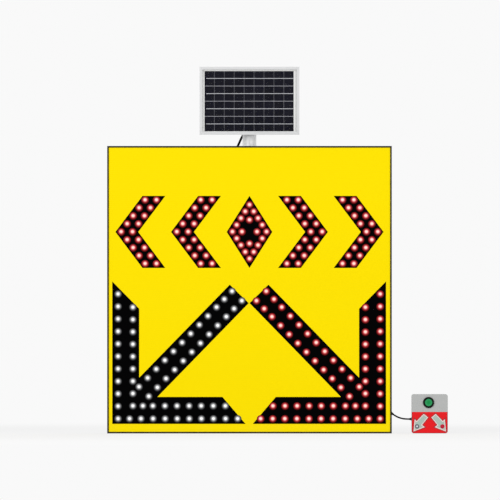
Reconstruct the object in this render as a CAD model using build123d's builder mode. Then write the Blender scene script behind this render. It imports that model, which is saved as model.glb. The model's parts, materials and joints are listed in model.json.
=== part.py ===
"""Solar two-way arrow sign: a lit sign case, a tilting solar panel on a post and a wired control box."""

import math
import os

from build123d import *

# Millimetres. X runs right, Y to the back and Z up. The origin is the middle of the case's underside.

# Case
CASE_WIDTH = 1000
CASE_HEIGHT = 1010
CASE_DEPTH = 80
FRAME_WALL = 2.5
MITRE_GAP = 0.05
LIP_WIDTH = 5.5
LIP_THICK = 2
FACE_THICK = 3
SHEET_GAP = 0.5
RIB_WIDTH = 14
RIB_THICK = 2
FLANGE_WIDTH = 24
FLANGE_THICK = 2
GASKET_THICK = 1.5
REAR_PANEL_THICK = 2
CLEAT_LEG = 60
CLEAT_THICK = 4
CLEAT_WIDTH = 30
CLEAT_SCREWS = (26, 48)
EDGE_SCREW_INSET = 13
EDGE_SCREW_ENDS = 80
SIDE_SCREW_BOTTOM = 90
SIDE_SCREW_TOP = 110
SIDE_SCREW_FROM_RAIL = 120

# Figures on the face
FILM_THICK = 0.25
ARROW_AXIS_X = -1.2
ARROW_SIDE_MARGIN = 17.8
ARROW_BOTTOM = 33.5
ARROW_STROKE = 94.6
UPRIGHT_TIP = 96
FOOT_TIP = 81
FOOT_END_X = 14
SHAFT_WIDTH = 93
SHAFT_CORNER_SHIFT = 1.5
SHAFT_END_X = 36
SHAFT_END_DROP = 43.7
MARKER_TOP_MARGIN = 175.5
MARKER_HEIGHT = 253
MARKER_GAP = 47.5
MARKER_SIDE_MARGIN = 29
CHEVRON_STROKE = 80
GLYPH_GAP = 20.5
DIAMOND_HALF_WIDTH = 80

# Light points
LENS_DIAMETER = 19
LENS_HOLE_GAP = 0.3
LENS_FLANGE_LIP = 1
LENS_FLANGE_THICK = 1.5
LENS_WALL = 3
LENS_RECESS_DEPTH = 6
LENS_PROUD = 0.5
DOME_HEIGHT = 4
LIGHT_EDGE = 20.5
COLUMN_GAP = 52
OUTER_COLUMN_COUNT = 11
INNER_COLUMN_COUNT = 9
OUTER_COLUMN_END = 45
INNER_COLUMN_END = 91.5
FOOT_LIGHT_EDGE = 17.3
FOOT_LIGHT_PITCH = 42.45
ROW_GAP = 45
BOTTOM_ROW_END = 27.6
UPPER_ROW_END = 70.8
SHAFT_LIGHT_PITCH = 43.4
SHAFT_ROW_GAP = 48
SHAFT_ROW_END = 11.5
SHAFT_ROW_CLEAR = 21.5
CHEVRON_ROW_COUNT = 9
CHEVRON_ROW_END = 14.5
DIAMOND_RING_SHARE = 0.75
DIAMOND_CORE_SHARE = 0.33
DIAMOND_SIDE_COUNT = 4
EMITTER_SIZE = 5
EMITTER_HEIGHT = 1.6
BOARD_THICK = 1.6
BOARD_INSET = 1
PILLAR_DIAMETER = 6
PILLAR_HEIGHT = 8
PILLAR_BORE_DEPTH = 6
BOARD_SCREW_REACH = 5

# Fasteners: thread, head width, head height
M3, M3_HEAD, M3_HEAD_HEIGHT = 3, 5.5, 2
M4, M4_HEAD, M4_HEAD_HEIGHT = 4, 8, 2.6
M5, M5_HEAD, M5_HEAD_HEIGHT = 5, 8, 3.5
M6, M6_HEAD, M6_HEAD_HEIGHT, M6_NUT_HEIGHT = 6, 10, 4, 5
M8, M8_HEAD, M8_HEAD_HEIGHT, M8_NUT_HEIGHT = 8, 13, 5.3, 6.5
HOLE_GAP = 0.1
HEAD_CHAMFER = 0.5
CROSS_LENGTH_SHARE = 0.55
CROSS_WIDTH_SHARE = 0.15
CROSS_DEPTH_SHARE = 0.5
PANEL_SCREW_LENGTH = 8
COUNTERSINK_DIAMETER = 8
COUNTERSINK_ANGLE = 90
CORNER_SCREW_LENGTH = 10

# Mounting rails
LOWER_RAIL_Z = 200
UPPER_RAIL_DROP = 310
RAIL_LENGTH_GAP = 2
RAIL_DEPTH = 25
RAIL_CROWN = 40
RAIL_WIDTH = 80
RAIL_WALL = 2.5
RAIL_BEND = 4
RAIL_BOLT_OFFSET = 30
RAIL_BOLT_LENGTH = 16
MOUNT_SPACING = 86
MOUNT_HOLE_DIAMETER = 9

# Battery and electronics
BATTERY_WIDTH = 151
BATTERY_DEPTH = 65
BATTERY_HEIGHT = 94
BATTERY_EDGE = 2
TERMINAL_SPACING = 120
TERMINAL_SIZE = 6
TRAY_Z = 140.5
TRAY_SHEET = 1.5
TRAY_LIP = 11
TRAY_BACK_HEIGHT = 75
TRAY_EAR = 21
BATTERY_GAP = 0.3
STRAP_HEIGHT = 20
TRAY_SCREW_RISE = 15
STRAP_SCREW_RISE = 55
CONTROLLER_X = 200
CONTROLLER_Z = 190
CONTROLLER_WIDTH = 96
CONTROLLER_DEPTH = 28
CONTROLLER_HEIGHT = 60
CONTROLLER_EDGE = 3
CONTROLLER_FOOT = 14
CONTROLLER_FOOT_THICK = 3
DRIVER_X = -220
DRIVER_Z = 190
DRIVER_WIDTH = 120
DRIVER_HEIGHT = 80
DRIVER_PILLAR_INSET = 8
LEAD_DIAMETER = 3

# Post and clamps
POST_DIAMETER = 48.3
POST_WALL = 2.6
POST_GAP = 5.85
POST_BELOW_CASE_TOP = 220
POST_ABOVE_PIVOT = 12
POST_CAP_THICK = 2
POST_CAP_DEPTH = 6
CLAMP_DROPS = (50, 180)
CLAMP_HEIGHT = 32
CLAMP_SPLIT = 2
CLAMP_FIT = 0.1
STRAP_WALL = 6
CLAMP_EAR_THICK = 8
CLAMP_BOLT_GAP = 8.85
CLAMP_EAR_END = 11
CLAMP_EDGE = 2
BACKING_THICK = 3
BACKING_MARGIN = 20

# Solar panel
PANEL_WIDTH = 351
PANEL_HEIGHT = 239
PANEL_DEPTH = 22
PANEL_CLEARANCE = 40
PANEL_WALL = 1.6
PANEL_LIP = 11
PANEL_RIB = 8
PANEL_FLANGE = 16
GLASS_THICK = 3.2
GLASS_GAP = 0.4
LAMINATE_GAP = 0.2
RIBBON_THICK = 0.2
RIBBON_WIDTH = 2
RIBBON_INSET = 6
CELL_THICK = 0.3
BACKSHEET_THICK = 0.5
CELL_COLUMNS = 9
CELL_ROWS = 4
CELL_LEFT_MARGIN = 17.4
CELL_RIGHT_MARGIN = 20.2
CELL_TOP_MARGIN = 15.1
CELL_BOTTOM_MARGIN = 12.3
CELL_COLUMN_GAP = 1.2
CELL_ROW_GAP = 1.6
STRUT_WIDTH = 25
STRUT_THICK = 5
STRUT_X = 50
STRUT_END_GAP = 3
STRUT_SCREW_INSET = 9
JUNCTION_X = 100
JUNCTION_WIDTH = 60
JUNCTION_HEIGHT = 50
JUNCTION_DEPTH = 16
JUNCTION_BOTTOM_BELOW_PIVOT = 19.5
JUNCTION_EDGE = 2
JUNCTION_LID_INSET = 5
JUNCTION_LID_RISE = 1.5
NECK_DIAMETER = 14
NECK_LENGTH = 10
NECK_FROM_REAR = 7

# Tilt joint
TILT_RANGE = 60
EAR_GAP = 0.85
EAR_THICK = 3
EAR_RADIUS = 44
WEB_REACH = 30
WEB_HALF_WIDTH = 65
WEB_HALF_HEIGHT = 40
LOCK_RADIUS = 35
SLOT_GAP = 0.3
SLOT_SPARE_ANGLE = 2
PIVOT_FIT = 0.05
YOKE_BOLT_RISE = 28
STRUT_BOLT_LENGTH = 12
BOLT_TAIL = 2

# Control box
BOX_GAP = 70
BOX_WIDTH = 127
BOX_HEIGHT = 137.5
BOX_FRONT_Y = -28
BOX_DEPTH = 56
BOX_CORNER = 8
BOX_WALL = 3
COVER_DEPTH = 6
COVER_EDGE = 0.5
COVER_SEAM = 0.8
LABEL_TOP = 75.2
LABEL_INSET = 0.6
LABEL_THICK = 0.3
COVER_SCREW_INSET = 10
SHELL_COLUMN_DIAMETER = 15
COVER_BOSS_DIAMETER = 10
COVER_SCREW_BITE = 4
BUTTON_OFFSET = -4
BUTTON_Z = 108.5
BUTTON_DIAMETER = 26
BUTTON_PROUD = 1.5
BUTTON_TRAVEL = 4
BUTTON_FIT = 0.2
BEZEL_DIAMETER = 39
BEZEL_HEIGHT = 5
BEZEL_CHAMFER = 1.5
BARREL_WALL = 2.4
BARREL_DEPTH = 20
BARREL_FLOOR = 2
CAP_BODY = 12.5
CAP_EDGE = 1.2
STEM_DIAMETER = 8
STEM_COLLAR_DIAMETER = 11
STEM_COLLAR_LENGTH = 3
SPRING_WIRE = 1
SPRING_DIAMETER = 14
SPRING_TURNS = 4
SPRING_END_GAP = 0.1
SWITCH_SIZE = 32
SWITCH_DEPTH = 24
SWITCH_COLLAR_WALL = 4
SWITCH_BORE_DIAMETER = 13
SWITCH_BORE_DEPTH = 12
INDICATOR_SPACING = 89
INDICATOR_Z = 24.5
HOLDER_DIAMETER = 14.8
HOLDER_BARREL_DIAMETER = 13.8
HOLDER_FLANGE = 1
WHITE_INDICATOR_DIAMETER = 7
RED_INDICATOR_DIAMETER = 12.4
INDICATOR_DOME = 2
SELECTOR_WIDTH = 102
SELECTOR_HEIGHT = 42
SELECTOR_BOTTOM = 17.6
SELECTOR_GAP = 9
SELECTOR_BOSS_DIAMETER = 6
SELECTOR_PIN_DIAMETER = 3
SELECTOR_PIN_LENGTH = 3
SELECTOR_BOSS_INSET = 6

# Cables: routes are points chosen by hand, from the end that moves or leaves the case
PANEL_CABLE_DIAMETER = 8
CONTROL_CABLE_DIAMETER = 5.5
GLAND_HEX = 19
GLAND_HEX_LENGTH = 6
GLAND_DOME_DIAMETER = 17
GLAND_LENGTH = 18
GLAND_THREAD_DIAMETER = 16
GLAND_THREAD_LENGTH = 10
GLAND_NUT_WIDTH = 22
GLAND_NUT_HEIGHT = 5
BOOT_FLANGE_DIAMETER = 11.5
BOOT_FLANGE_THICK = 1.5
BOOT_NECK_DIAMETER = 9
BOOT_NOSE_DIAMETER = 7
CONTROL_EXIT_Z = 70.1
BEND_SHARE = 0.45
LEAD_BEND = 15
# The panel's cable, as X, distance behind the post's middle and height above the case
PANEL_CABLE_POINTS = (
    (97, -35, 86),
    (86, -15, 69),
    (64, 8, 61),
    (36, 27, 61),
    (5, 37, 60),
    (-22, 37, 44),
    (-40.5, 35, 2),
    (-57, 40, -32),
    (-67, 42, -57),
    (-72, 38.5, -80),
    (-74.3, 26, -96.2),
)
PANEL_CABLE_ENDS = (21, 18)
GLAND_X = -75
GLAND_DROP = 106
# The control cable, as distance from the case and height above its hole
CONTROL_CABLE_POINTS = (
    (5.5, -3.8),
    (15, -10.3),
    (29, -16.3),
    (45.5, -20.1),
    (62, -20.1),
)

# Depths in the case
FRONT_Y = -CASE_DEPTH / 2
REAR_Y = CASE_DEPTH / 2
FACE_FRONT_Y = FRONT_Y + LIP_THICK
FACE_REAR_Y = FACE_FRONT_Y + FACE_THICK
BOARD_FRONT_Y = FACE_REAR_Y + PILLAR_HEIGHT
BOARD_REAR_Y = BOARD_FRONT_Y + BOARD_THICK
PANEL_INNER_Y = REAR_Y - REAR_PANEL_THICK
FLANGE_REAR_Y = PANEL_INNER_Y - GASKET_THICK
FLANGE_FRONT_Y = FLANGE_REAR_Y - FLANGE_THICK
SHEET_WIDTH = CASE_WIDTH - 2 * (FRAME_WALL + SHEET_GAP)
SHEET_HEIGHT = CASE_HEIGHT - 2 * (FRAME_WALL + SHEET_GAP)
LENS_HOLE_RADIUS = LENS_DIAMETER / 2 + LENS_HOLE_GAP
LENS_FLANGE_RADIUS = LENS_DIAMETER / 2 + LENS_FLANGE_LIP
LENS_RECESS_RADIUS = LENS_DIAMETER / 2 - LENS_WALL
CASE_SECTION = (
    (0, FRAME_WALL, FRONT_Y, REAR_Y),
    (0, LIP_WIDTH, FRONT_Y, FACE_FRONT_Y),
    (0, RIB_WIDTH, FACE_REAR_Y, FACE_REAR_Y + RIB_THICK),
    (0, FLANGE_WIDTH, FLANGE_FRONT_Y, FLANGE_REAR_Y),
)

# Post, panel and pivot
POST_RADIUS = POST_DIAMETER / 2
POST_Y = REAR_Y + POST_GAP + POST_RADIUS
CLAMP_BOLT_X = POST_RADIUS + STRAP_WALL + CLAMP_BOLT_GAP
CLAMP_HALF_WIDTH = CLAMP_BOLT_X + CLAMP_EAR_END
PANEL_BOTTOM = CASE_HEIGHT + PANEL_CLEARANCE
PANEL_TOP = PANEL_BOTTOM + PANEL_HEIGHT
PIVOT_Z = PANEL_BOTTOM + PANEL_HEIGHT / 2
POST_BOTTOM = CASE_HEIGHT - POST_BELOW_CASE_TOP
POST_TOP = PIVOT_Z + POST_ABOVE_PIVOT
CLAMP_HEIGHTS = [CASE_HEIGHT - drop for drop in CLAMP_DROPS]
WEB_REAR_Y = POST_Y - WEB_REACH
WEB_FRONT_Y = WEB_REAR_Y - EAR_THICK
PANEL_REAR_Y = WEB_FRONT_Y - STRUT_THICK
PANEL_FRONT_Y = PANEL_REAR_Y - PANEL_DEPTH
GLASS_FRONT_Y = PANEL_FRONT_Y + PANEL_WALL
GLASS_REAR_Y = GLASS_FRONT_Y + GLASS_THICK
CELL_FRONT_Y = GLASS_REAR_Y + LAMINATE_GAP + RIBBON_THICK
CELL_REAR_Y = CELL_FRONT_Y + CELL_THICK
BACKSHEET_REAR_Y = CELL_REAR_Y + BACKSHEET_THICK
PANEL_SECTION = (
    (0, PANEL_WALL, PANEL_FRONT_Y, PANEL_REAR_Y),
    (0, PANEL_LIP, PANEL_FRONT_Y, GLASS_FRONT_Y),
    (0, PANEL_RIB, BACKSHEET_REAR_Y, BACKSHEET_REAR_Y + PANEL_WALL),
    (0, PANEL_FLANGE, PANEL_REAR_Y - PANEL_WALL, PANEL_REAR_Y),
)

# Cables
NECK_Y = PANEL_REAR_Y - NECK_FROM_REAR
JUNCTION_BOTTOM = PIVOT_Z - JUNCTION_BOTTOM_BELOW_PIVOT
NECK_BOTTOM = JUNCTION_BOTTOM - NECK_LENGTH
GLAND_Z = CASE_HEIGHT - GLAND_DROP
GLAND_REAR_Y = REAR_Y + GLAND_LENGTH
PANEL_CABLE_ROUTE = [
    (JUNCTION_X, NECK_Y, NECK_BOTTOM),
    (JUNCTION_X, NECK_Y, NECK_BOTTOM - PANEL_CABLE_ENDS[0]),
]
PANEL_CABLE_ROUTE += [(x, POST_Y + back, CASE_HEIGHT + rise) for x, back, rise in PANEL_CABLE_POINTS]
PANEL_CABLE_ROUTE += [
    (GLAND_X, GLAND_REAR_Y + PANEL_CABLE_ENDS[1], GLAND_Z),
    (GLAND_X, GLAND_REAR_Y, GLAND_Z),
]
CONTROL_CABLE_ROUTE = [
    (CASE_WIDTH / 2 + away, 0, CONTROL_EXIT_Z + rise) for away, rise in CONTROL_CABLE_POINTS
]

# Control box
BOX_LEFT = CASE_WIDTH / 2 + BOX_GAP
BOX_X = BOX_LEFT + BOX_WIDTH / 2
BOX_REAR_Y = BOX_FRONT_Y + BOX_DEPTH
COVER_REAR_Y = BOX_FRONT_Y + COVER_DEPTH
COVER_INNER_Y = BOX_FRONT_Y + BOX_WALL
BUTTON_X = BOX_X + BUTTON_OFFSET
BEZEL_FRONT_Y = BOX_FRONT_Y - BEZEL_HEIGHT
BARREL_RADIUS = BUTTON_DIAMETER / 2 + BUTTON_FIT + BARREL_WALL
BARREL_REAR_Y = BOX_FRONT_Y + BARREL_DEPTH
SELECTOR_FRONT_Y = COVER_INNER_Y + SELECTOR_GAP


def spaced(first, last, count):
    """Evenly spaced values, both ends included."""
    return [first + (last - first) * step / (count - 1) for step in range(count)]


def stepped(start, end, pitch):
    """Values from start to end: whole pitches first, and the last two gaps share the rest."""
    whole = int(abs(end - start) / pitch) - 1
    step = math.copysign(pitch, end - start)
    values = [start + step * count for count in range(whole + 1)]
    return values + [(values[-1] + end) / 2, end]


def mirrored(points, axis=0):
    """The same points on the other side of an upright line, the sign's middle if no other is given."""
    return [(2 * axis - x, z) for x, z in points]


# Left arrow: an upright and a foot that meet in the lower corner, and a shaft that slopes up from it
ARROW_LEFT = -CASE_WIDTH / 2 + ARROW_SIDE_MARGIN
MARKER_BOTTOM = CASE_HEIGHT - MARKER_TOP_MARGIN - MARKER_HEIGHT
UPRIGHT_TOP = MARKER_BOTTOM - MARKER_GAP
SHAFT_START_X = ARROW_LEFT + SHAFT_CORNER_SHIFT
SHAFT_RUN = -SHAFT_END_X - SHAFT_START_X
SHAFT_RISE = UPRIGHT_TOP - SHAFT_END_DROP - ARROW_BOTTOM
SHAFT_REACH = math.hypot(SHAFT_RUN, SHAFT_RISE)
SHAFT_COS = SHAFT_RUN / SHAFT_REACH
SHAFT_SIN = SHAFT_RISE / SHAFT_REACH


def on_shaft(reach, offset):
    """Point on the left shaft, by its distance from the corner and its offset from the middle line."""
    x = SHAFT_START_X + reach * SHAFT_COS - offset * SHAFT_SIN
    return x, ARROW_BOTTOM + reach * SHAFT_SIN + offset * SHAFT_COS


LEFT_ARROW = [
    [
        (ARROW_LEFT, ARROW_BOTTOM),
        (ARROW_LEFT + ARROW_STROKE, ARROW_BOTTOM),
        (ARROW_LEFT + ARROW_STROKE, UPRIGHT_TOP - UPRIGHT_TIP),
        (ARROW_LEFT, UPRIGHT_TOP),
    ],
    [
        (ARROW_LEFT, ARROW_BOTTOM),
        (-FOOT_END_X, ARROW_BOTTOM),
        (-FOOT_END_X - FOOT_TIP, ARROW_BOTTOM + ARROW_STROKE),
        (ARROW_LEFT, ARROW_BOTTOM + ARROW_STROKE),
    ],
    [
        on_shaft(ARROW_STROKE, -SHAFT_WIDTH / 2),
        on_shaft(SHAFT_REACH, -SHAFT_WIDTH / 2),
        on_shaft(SHAFT_REACH, SHAFT_WIDTH / 2),
        on_shaft(ARROW_STROKE, SHAFT_WIDTH / 2),
    ],
]
RIGHT_ARROW = [mirrored(polygon, ARROW_AXIS_X) for polygon in LEFT_ARROW]


def left_arrow_lights():
    """Two columns on the upright, two rows on the foot and two rows on the shaft."""
    outer_x = ARROW_LEFT + LIGHT_EDGE
    inner_x = outer_x + COLUMN_GAP
    bottom_z = ARROW_BOTTOM + FOOT_LIGHT_EDGE
    upper_z = bottom_z + ROW_GAP
    places = [(outer_x, z) for z in spaced(bottom_z, UPRIGHT_TOP - OUTER_COLUMN_END, OUTER_COLUMN_COUNT)]
    places += [(inner_x, z) for z in spaced(upper_z, UPRIGHT_TOP - INNER_COLUMN_END, INNER_COLUMN_COUNT)]
    bottom_row = stepped(-FOOT_END_X - BOTTOM_ROW_END, outer_x, FOOT_LIGHT_PITCH)
    upper_row = stepped(-FOOT_END_X - UPPER_ROW_END, inner_x, FOOT_LIGHT_PITCH)
    places += [(x, bottom_z) for x in bottom_row[:-1]] + [(x, upper_z) for x in upper_row[:-1]]
    side = SHAFT_ROW_GAP / 2
    past_column = (inner_x + SHAFT_ROW_CLEAR + side * SHAFT_SIN - SHAFT_START_X) / SHAFT_COS
    past_row = (upper_z + SHAFT_ROW_CLEAR + side * SHAFT_COS - ARROW_BOTTOM) / SHAFT_SIN
    for reach in stepped(max(past_column, past_row), SHAFT_REACH - SHAFT_ROW_END, SHAFT_LIGHT_PITCH):
        places += [on_shaft(reach, side), on_shaft(reach, -side)]
    return places


def left_arrow_pillars():
    """Places between the rows of lights, three on each limb of the arrow."""
    upright_x = ARROW_LEFT + LIGHT_EDGE + COLUMN_GAP / 2
    foot_z = ARROW_BOTTOM + FOOT_LIGHT_EDGE + ROW_GAP / 2
    limb_start = 1.25 * ARROW_STROKE
    limb_end = ARROW_STROKE
    places = [(upright_x, z) for z in spaced(ARROW_BOTTOM + limb_start, UPRIGHT_TOP - limb_end, 3)]
    places += [(x, foot_z) for x in spaced(ARROW_LEFT + limb_start, -FOOT_END_X - limb_end, 3)]
    places += [on_shaft(reach, 0) for reach in spaced(2.5 * ARROW_STROKE, SHAFT_REACH - limb_end / 2, 3)]
    return places


# Marker band: two chevrons to each side of a diamond
MARKER_Z = MARKER_BOTTOM + MARKER_HEIGHT / 2
MARKER_HALF = MARKER_HEIGHT / 2
GLYPH_ROOM = CASE_WIDTH / 2 - MARKER_SIDE_MARGIN - DIAMOND_HALF_WIDTH - 2 * GLYPH_GAP
CHEVRON_WIDTH = GLYPH_ROOM / 2
CHEVRON_RUN = CHEVRON_WIDTH - CHEVRON_STROKE
CHEVRON_TIPS = [
    -CASE_WIDTH / 2 + MARKER_SIDE_MARGIN,
    -CASE_WIDTH / 2 + MARKER_SIDE_MARGIN + CHEVRON_WIDTH + GLYPH_GAP,
]


def in_chevron(tip, across, rise):
    """Point in a chevron that points left, by its distance behind the slanted front edge and its height."""
    return tip + across + abs(rise) / MARKER_HALF * CHEVRON_RUN, MARKER_Z + rise


def chevron(tip):
    """Outline of a chevron that points left."""
    front = [in_chevron(tip, 0, rise) for rise in (-MARKER_HALF, 0, MARKER_HALF)]
    back = [in_chevron(tip, CHEVRON_STROKE, rise) for rise in (MARKER_HALF, 0, -MARKER_HALF)]
    return front + back


def chevron_lights(tip):
    """Two rows of lights that follow a chevron's edges."""
    rises = spaced(CHEVRON_ROW_END - MARKER_HALF, MARKER_HALF - CHEVRON_ROW_END, CHEVRON_ROW_COUNT)
    return [in_chevron(tip, CHEVRON_STROKE * share, rise) for share in (0.25, 0.75) for rise in rises]


def chevron_pillars(tip):
    """Places on a chevron's middle line."""
    return [in_chevron(tip, CHEVRON_STROKE / 2, rise) for rise in (-MARKER_HALF / 2, 0, MARKER_HALF / 2)]


def diamond(share):
    """Corners of the middle diamond, at a share of its full size."""
    wide = DIAMOND_HALF_WIDTH * share
    tall = MARKER_HALF * share
    return [(wide, MARKER_Z), (0, MARKER_Z + tall), (-wide, MARKER_Z), (0, MARKER_Z - tall)]


def diamond_lights():
    """A ring of lights inside the diamond's edge and four more round its middle."""
    ring = diamond(DIAMOND_RING_SHARE)
    places = diamond(DIAMOND_CORE_SHARE)
    for (x0, z0), (x1, z1) in zip(ring, ring[1:] + ring[:1]):
        for step in range(DIAMOND_SIDE_COUNT):
            share = step / DIAMOND_SIDE_COUNT
            places.append((x0 + (x1 - x0) * share, z0 + (z1 - z0) * share))
    return places


LEFT_CHEVRONS = [chevron(tip) for tip in CHEVRON_TIPS]
MARKER_FIGURES = [[outline] for outline in LEFT_CHEVRONS]
MARKER_FIGURES += [[mirrored(outline)] for outline in LEFT_CHEVRONS]
MARKER_FIGURES += [[diamond(1)]]
LEFT_CHEVRON_LIGHTS = [place for tip in CHEVRON_TIPS for place in chevron_lights(tip)]
LEFT_CHEVRON_PILLARS = [place for tip in CHEVRON_TIPS for place in chevron_pillars(tip)]
MARKER_LIGHTS = LEFT_CHEVRON_LIGHTS + mirrored(LEFT_CHEVRON_LIGHTS) + diamond_lights()
DIAMOND_PILLAR_RISE = MARKER_HALF * (DIAMOND_RING_SHARE + DIAMOND_CORE_SHARE) / 2
DIAMOND_PILLARS = [(0, MARKER_Z + rise) for rise in (-DIAMOND_PILLAR_RISE, 0, DIAMOND_PILLAR_RISE)]
MARKER_PILLARS = LEFT_CHEVRON_PILLARS + mirrored(LEFT_CHEVRON_PILLARS) + DIAMOND_PILLARS
WHITE_LIGHTS = left_arrow_lights()
RIGHT_ARROW_LIGHTS = mirrored(WHITE_LIGHTS, ARROW_AXIS_X)
RED_LIGHTS = RIGHT_ARROW_LIGHTS + MARKER_LIGHTS
ALL_LIGHTS = WHITE_LIGHTS + RED_LIGHTS
ARROW_PILLARS = left_arrow_pillars() + mirrored(left_arrow_pillars(), ARROW_AXIS_X)

# Places of rear fasteners, as X and Z
UPPER_RAIL_Z = CASE_HEIGHT - UPPER_RAIL_DROP
RAIL_HEIGHTS = (LOWER_RAIL_Z, UPPER_RAIL_Z)
EDGE_X = CASE_WIDTH / 2 - EDGE_SCREW_INSET
EDGE_SCREWS = [
    (x, z)
    for x in spaced(EDGE_SCREW_ENDS - CASE_WIDTH / 2, CASE_WIDTH / 2 - EDGE_SCREW_ENDS, 4)
    for z in (EDGE_SCREW_INSET, CASE_HEIGHT - EDGE_SCREW_INSET)
]
SIDE_SCREW_HEIGHTS = (
    SIDE_SCREW_BOTTOM,
    LOWER_RAIL_Z + SIDE_SCREW_FROM_RAIL,
    UPPER_RAIL_Z - SIDE_SCREW_FROM_RAIL,
    CASE_HEIGHT - SIDE_SCREW_TOP,
)
EDGE_SCREWS += [(x, z) for x in (-EDGE_X, EDGE_X) for z in SIDE_SCREW_HEIGHTS]
RAIL_BOLTS = [
    (x, z + side * RAIL_BOLT_OFFSET) for x in (-EDGE_X, EDGE_X) for z in RAIL_HEIGHTS for side in (-1, 1)
]
MOUNT_HOLES = [(x, z) for x in (-MOUNT_SPACING / 2, MOUNT_SPACING / 2) for z in RAIL_HEIGHTS]
TRAY_EAR_X = BATTERY_WIDTH / 2 + TRAY_EAR / 2 + TRAY_SHEET
TRAY_SCREWS = [
    (x, TRAY_Z + rise) for x in (-TRAY_EAR_X, TRAY_EAR_X) for rise in (TRAY_SCREW_RISE, STRAP_SCREW_RISE)
]
CONTROLLER_FOOT_X = (CONTROLLER_WIDTH + CONTROLLER_FOOT) / 2
CONTROLLER_SCREWS = [(CONTROLLER_X + side * CONTROLLER_FOOT_X, CONTROLLER_Z) for side in (-1, 1)]
PANEL_SCREWS = EDGE_SCREWS + TRAY_SCREWS + CONTROLLER_SCREWS
CLAMP_BOLTS = [(x, z) for x in (-CLAMP_BOLT_X, CLAMP_BOLT_X) for z in CLAMP_HEIGHTS]
DRIVER_PILLARS = [
    (DRIVER_X + sx * (DRIVER_WIDTH / 2 - DRIVER_PILLAR_INSET),
     DRIVER_Z + sz * (DRIVER_HEIGHT / 2 - DRIVER_PILLAR_INSET))
    for sx in (-1, 1)
    for sz in (-1, 1)
]
DRIVER_REAR_Y = PANEL_INNER_Y - PILLAR_HEIGHT
DRIVER_FRONT_Y = DRIVER_REAR_Y - BOARD_THICK


def front_plane(y):
    """Sketch plane at this depth, seen from the front with X to the right and Z up."""
    return Plane.XZ.offset(-y)


def forward(y, places):
    """Planes that face the front at this depth, one for each X and Z."""
    return [Plane(origin=(x, y, z), x_dir=(1, 0, 0), z_dir=(0, -1, 0)) for x, z in places]


def backward(y, places):
    """Planes that face the back at this depth, one for each X and Z."""
    return [Plane(origin=(x, y, z), x_dir=(-1, 0, 0), z_dir=(0, 1, 0)) for x, z in places]


def sideways(x, y, z, direction):
    """Plane that faces right for direction 1 and left for direction -1."""
    return Plane(origin=(x, y, z), x_dir=(0, 1, 0), z_dir=(direction, 0, 0))


def save(piece, name):
    """Label a finished piece and write it."""
    piece.part.label = name
    export_step(piece.part, f"parts/{name}.step")


def copies(piece, planes):
    """Separate copies of one piece, one on each plane."""
    with BuildPart() as group:
        with Locations(*planes):
            add(piece.part)
    return group


def cross_outline(head_width):
    """Two crossed slots that fit a screw head of this width."""
    with BuildSketch() as cross:
        Rectangle(head_width * CROSS_LENGTH_SHARE, head_width * CROSS_WIDTH_SHARE)
        Rectangle(head_width * CROSS_WIDTH_SHARE, head_width * CROSS_LENGTH_SHARE)
    return cross.sketch


def round_screw(thread, head_width, head_height, length):
    """Round-headed screw: the head stands on the plane and the shank runs down from it."""
    with BuildPart() as screw:
        Cylinder(head_width / 2, head_height, align=(Align.CENTER, Align.CENTER, Align.MIN))
        chamfer(screw.edges().sort_by(Axis.Z)[-1], HEAD_CHAMFER)
        Cylinder(thread / 2, length, align=(Align.CENTER, Align.CENTER, Align.MAX))
        with BuildSketch(Plane.XY.offset(head_height)):
            add(cross_outline(head_width))
        extrude(amount=-head_height * CROSS_DEPTH_SHARE, mode=Mode.SUBTRACT)
    return screw


def hex_bolt(thread, head_width, head_height, length):
    """Hexagon bolt: the head stands on the plane and the shank runs down from it."""
    with BuildPart() as bolt:
        with BuildSketch():
            RegularPolygon(head_width / 2, 6, major_radius=False)
        extrude(amount=head_height)
        chamfer(bolt.faces().sort_by(Axis.Z)[-1].edges(), HEAD_CHAMFER)
        Cylinder(thread / 2, length, align=(Align.CENTER, Align.CENTER, Align.MAX))
    return bolt


def hex_nut(thread, width, height):
    """Hexagon nut that stands on the plane."""
    with BuildPart() as nut:
        with BuildSketch():
            RegularPolygon(width / 2, 6, major_radius=False)
            Circle(thread / 2 + HOLE_GAP, mode=Mode.SUBTRACT)
        extrude(amount=height)
    return nut


def frame_sides(left, right, bottom, top):
    """Start corner, inward direction, run and length of each side of a rectangular frame."""
    return {
        "left": ((left, 0, bottom), (1, 0, 0), (0, 0, 1), top - bottom),
        "right": ((right, 0, top), (-1, 0, 0), (0, 0, -1), top - bottom),
        "bottom": ((right, 0, bottom), (0, 0, 1), (-1, 0, 0), right - left),
        "top": ((left, 0, top), (0, 0, -1), (1, 0, 0), right - left),
    }


def mitred_bar(corner, inward, run, length, section):
    """One side of a frame. The section's rectangles run along it and both ends are cut at 45 degrees."""
    widest = max(far for _, far, _, _ in section)
    deepest = 2 * max(abs(edge) for rectangle in section for edge in rectangle[2:])
    with BuildPart() as bar:
        with BuildSketch(Plane(origin=corner, x_dir=inward, z_dir=run)):
            for near, far, front, back in section:
                with Locations(((near + far) / 2, (front + back) / 2)):
                    Rectangle(far - near, back - front)
        extrude(amount=length)
        with BuildSketch(Plane(origin=corner, x_dir=run, z_dir=(0, 1, 0))):
            Polygon(
                (MITRE_GAP, 0),
                (length - MITRE_GAP, 0),
                (length - MITRE_GAP - widest, widest),
                (MITRE_GAP + widest, widest),
            )
        extrude(amount=deepest, both=True, mode=Mode.INTERSECT)
    return bar


def figure_sheets(figures, y_back, thick, inset, holes, hole_radius):
    """Flat sheets in the outlines of the figures, with round holes through them."""
    with BuildPart() as sheets:
        with BuildSketch(front_plane(y_back)):
            for figure in figures:
                for outline in figure:
                    Polygon(*outline)
            if inset:
                offset(amount=-inset, kind=Kind.INTERSECTION, mode=Mode.REPLACE)
            with Locations(*holes):
                Circle(hole_radius, mode=Mode.SUBTRACT)
        extrude(amount=thick)
    return sheets


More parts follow.
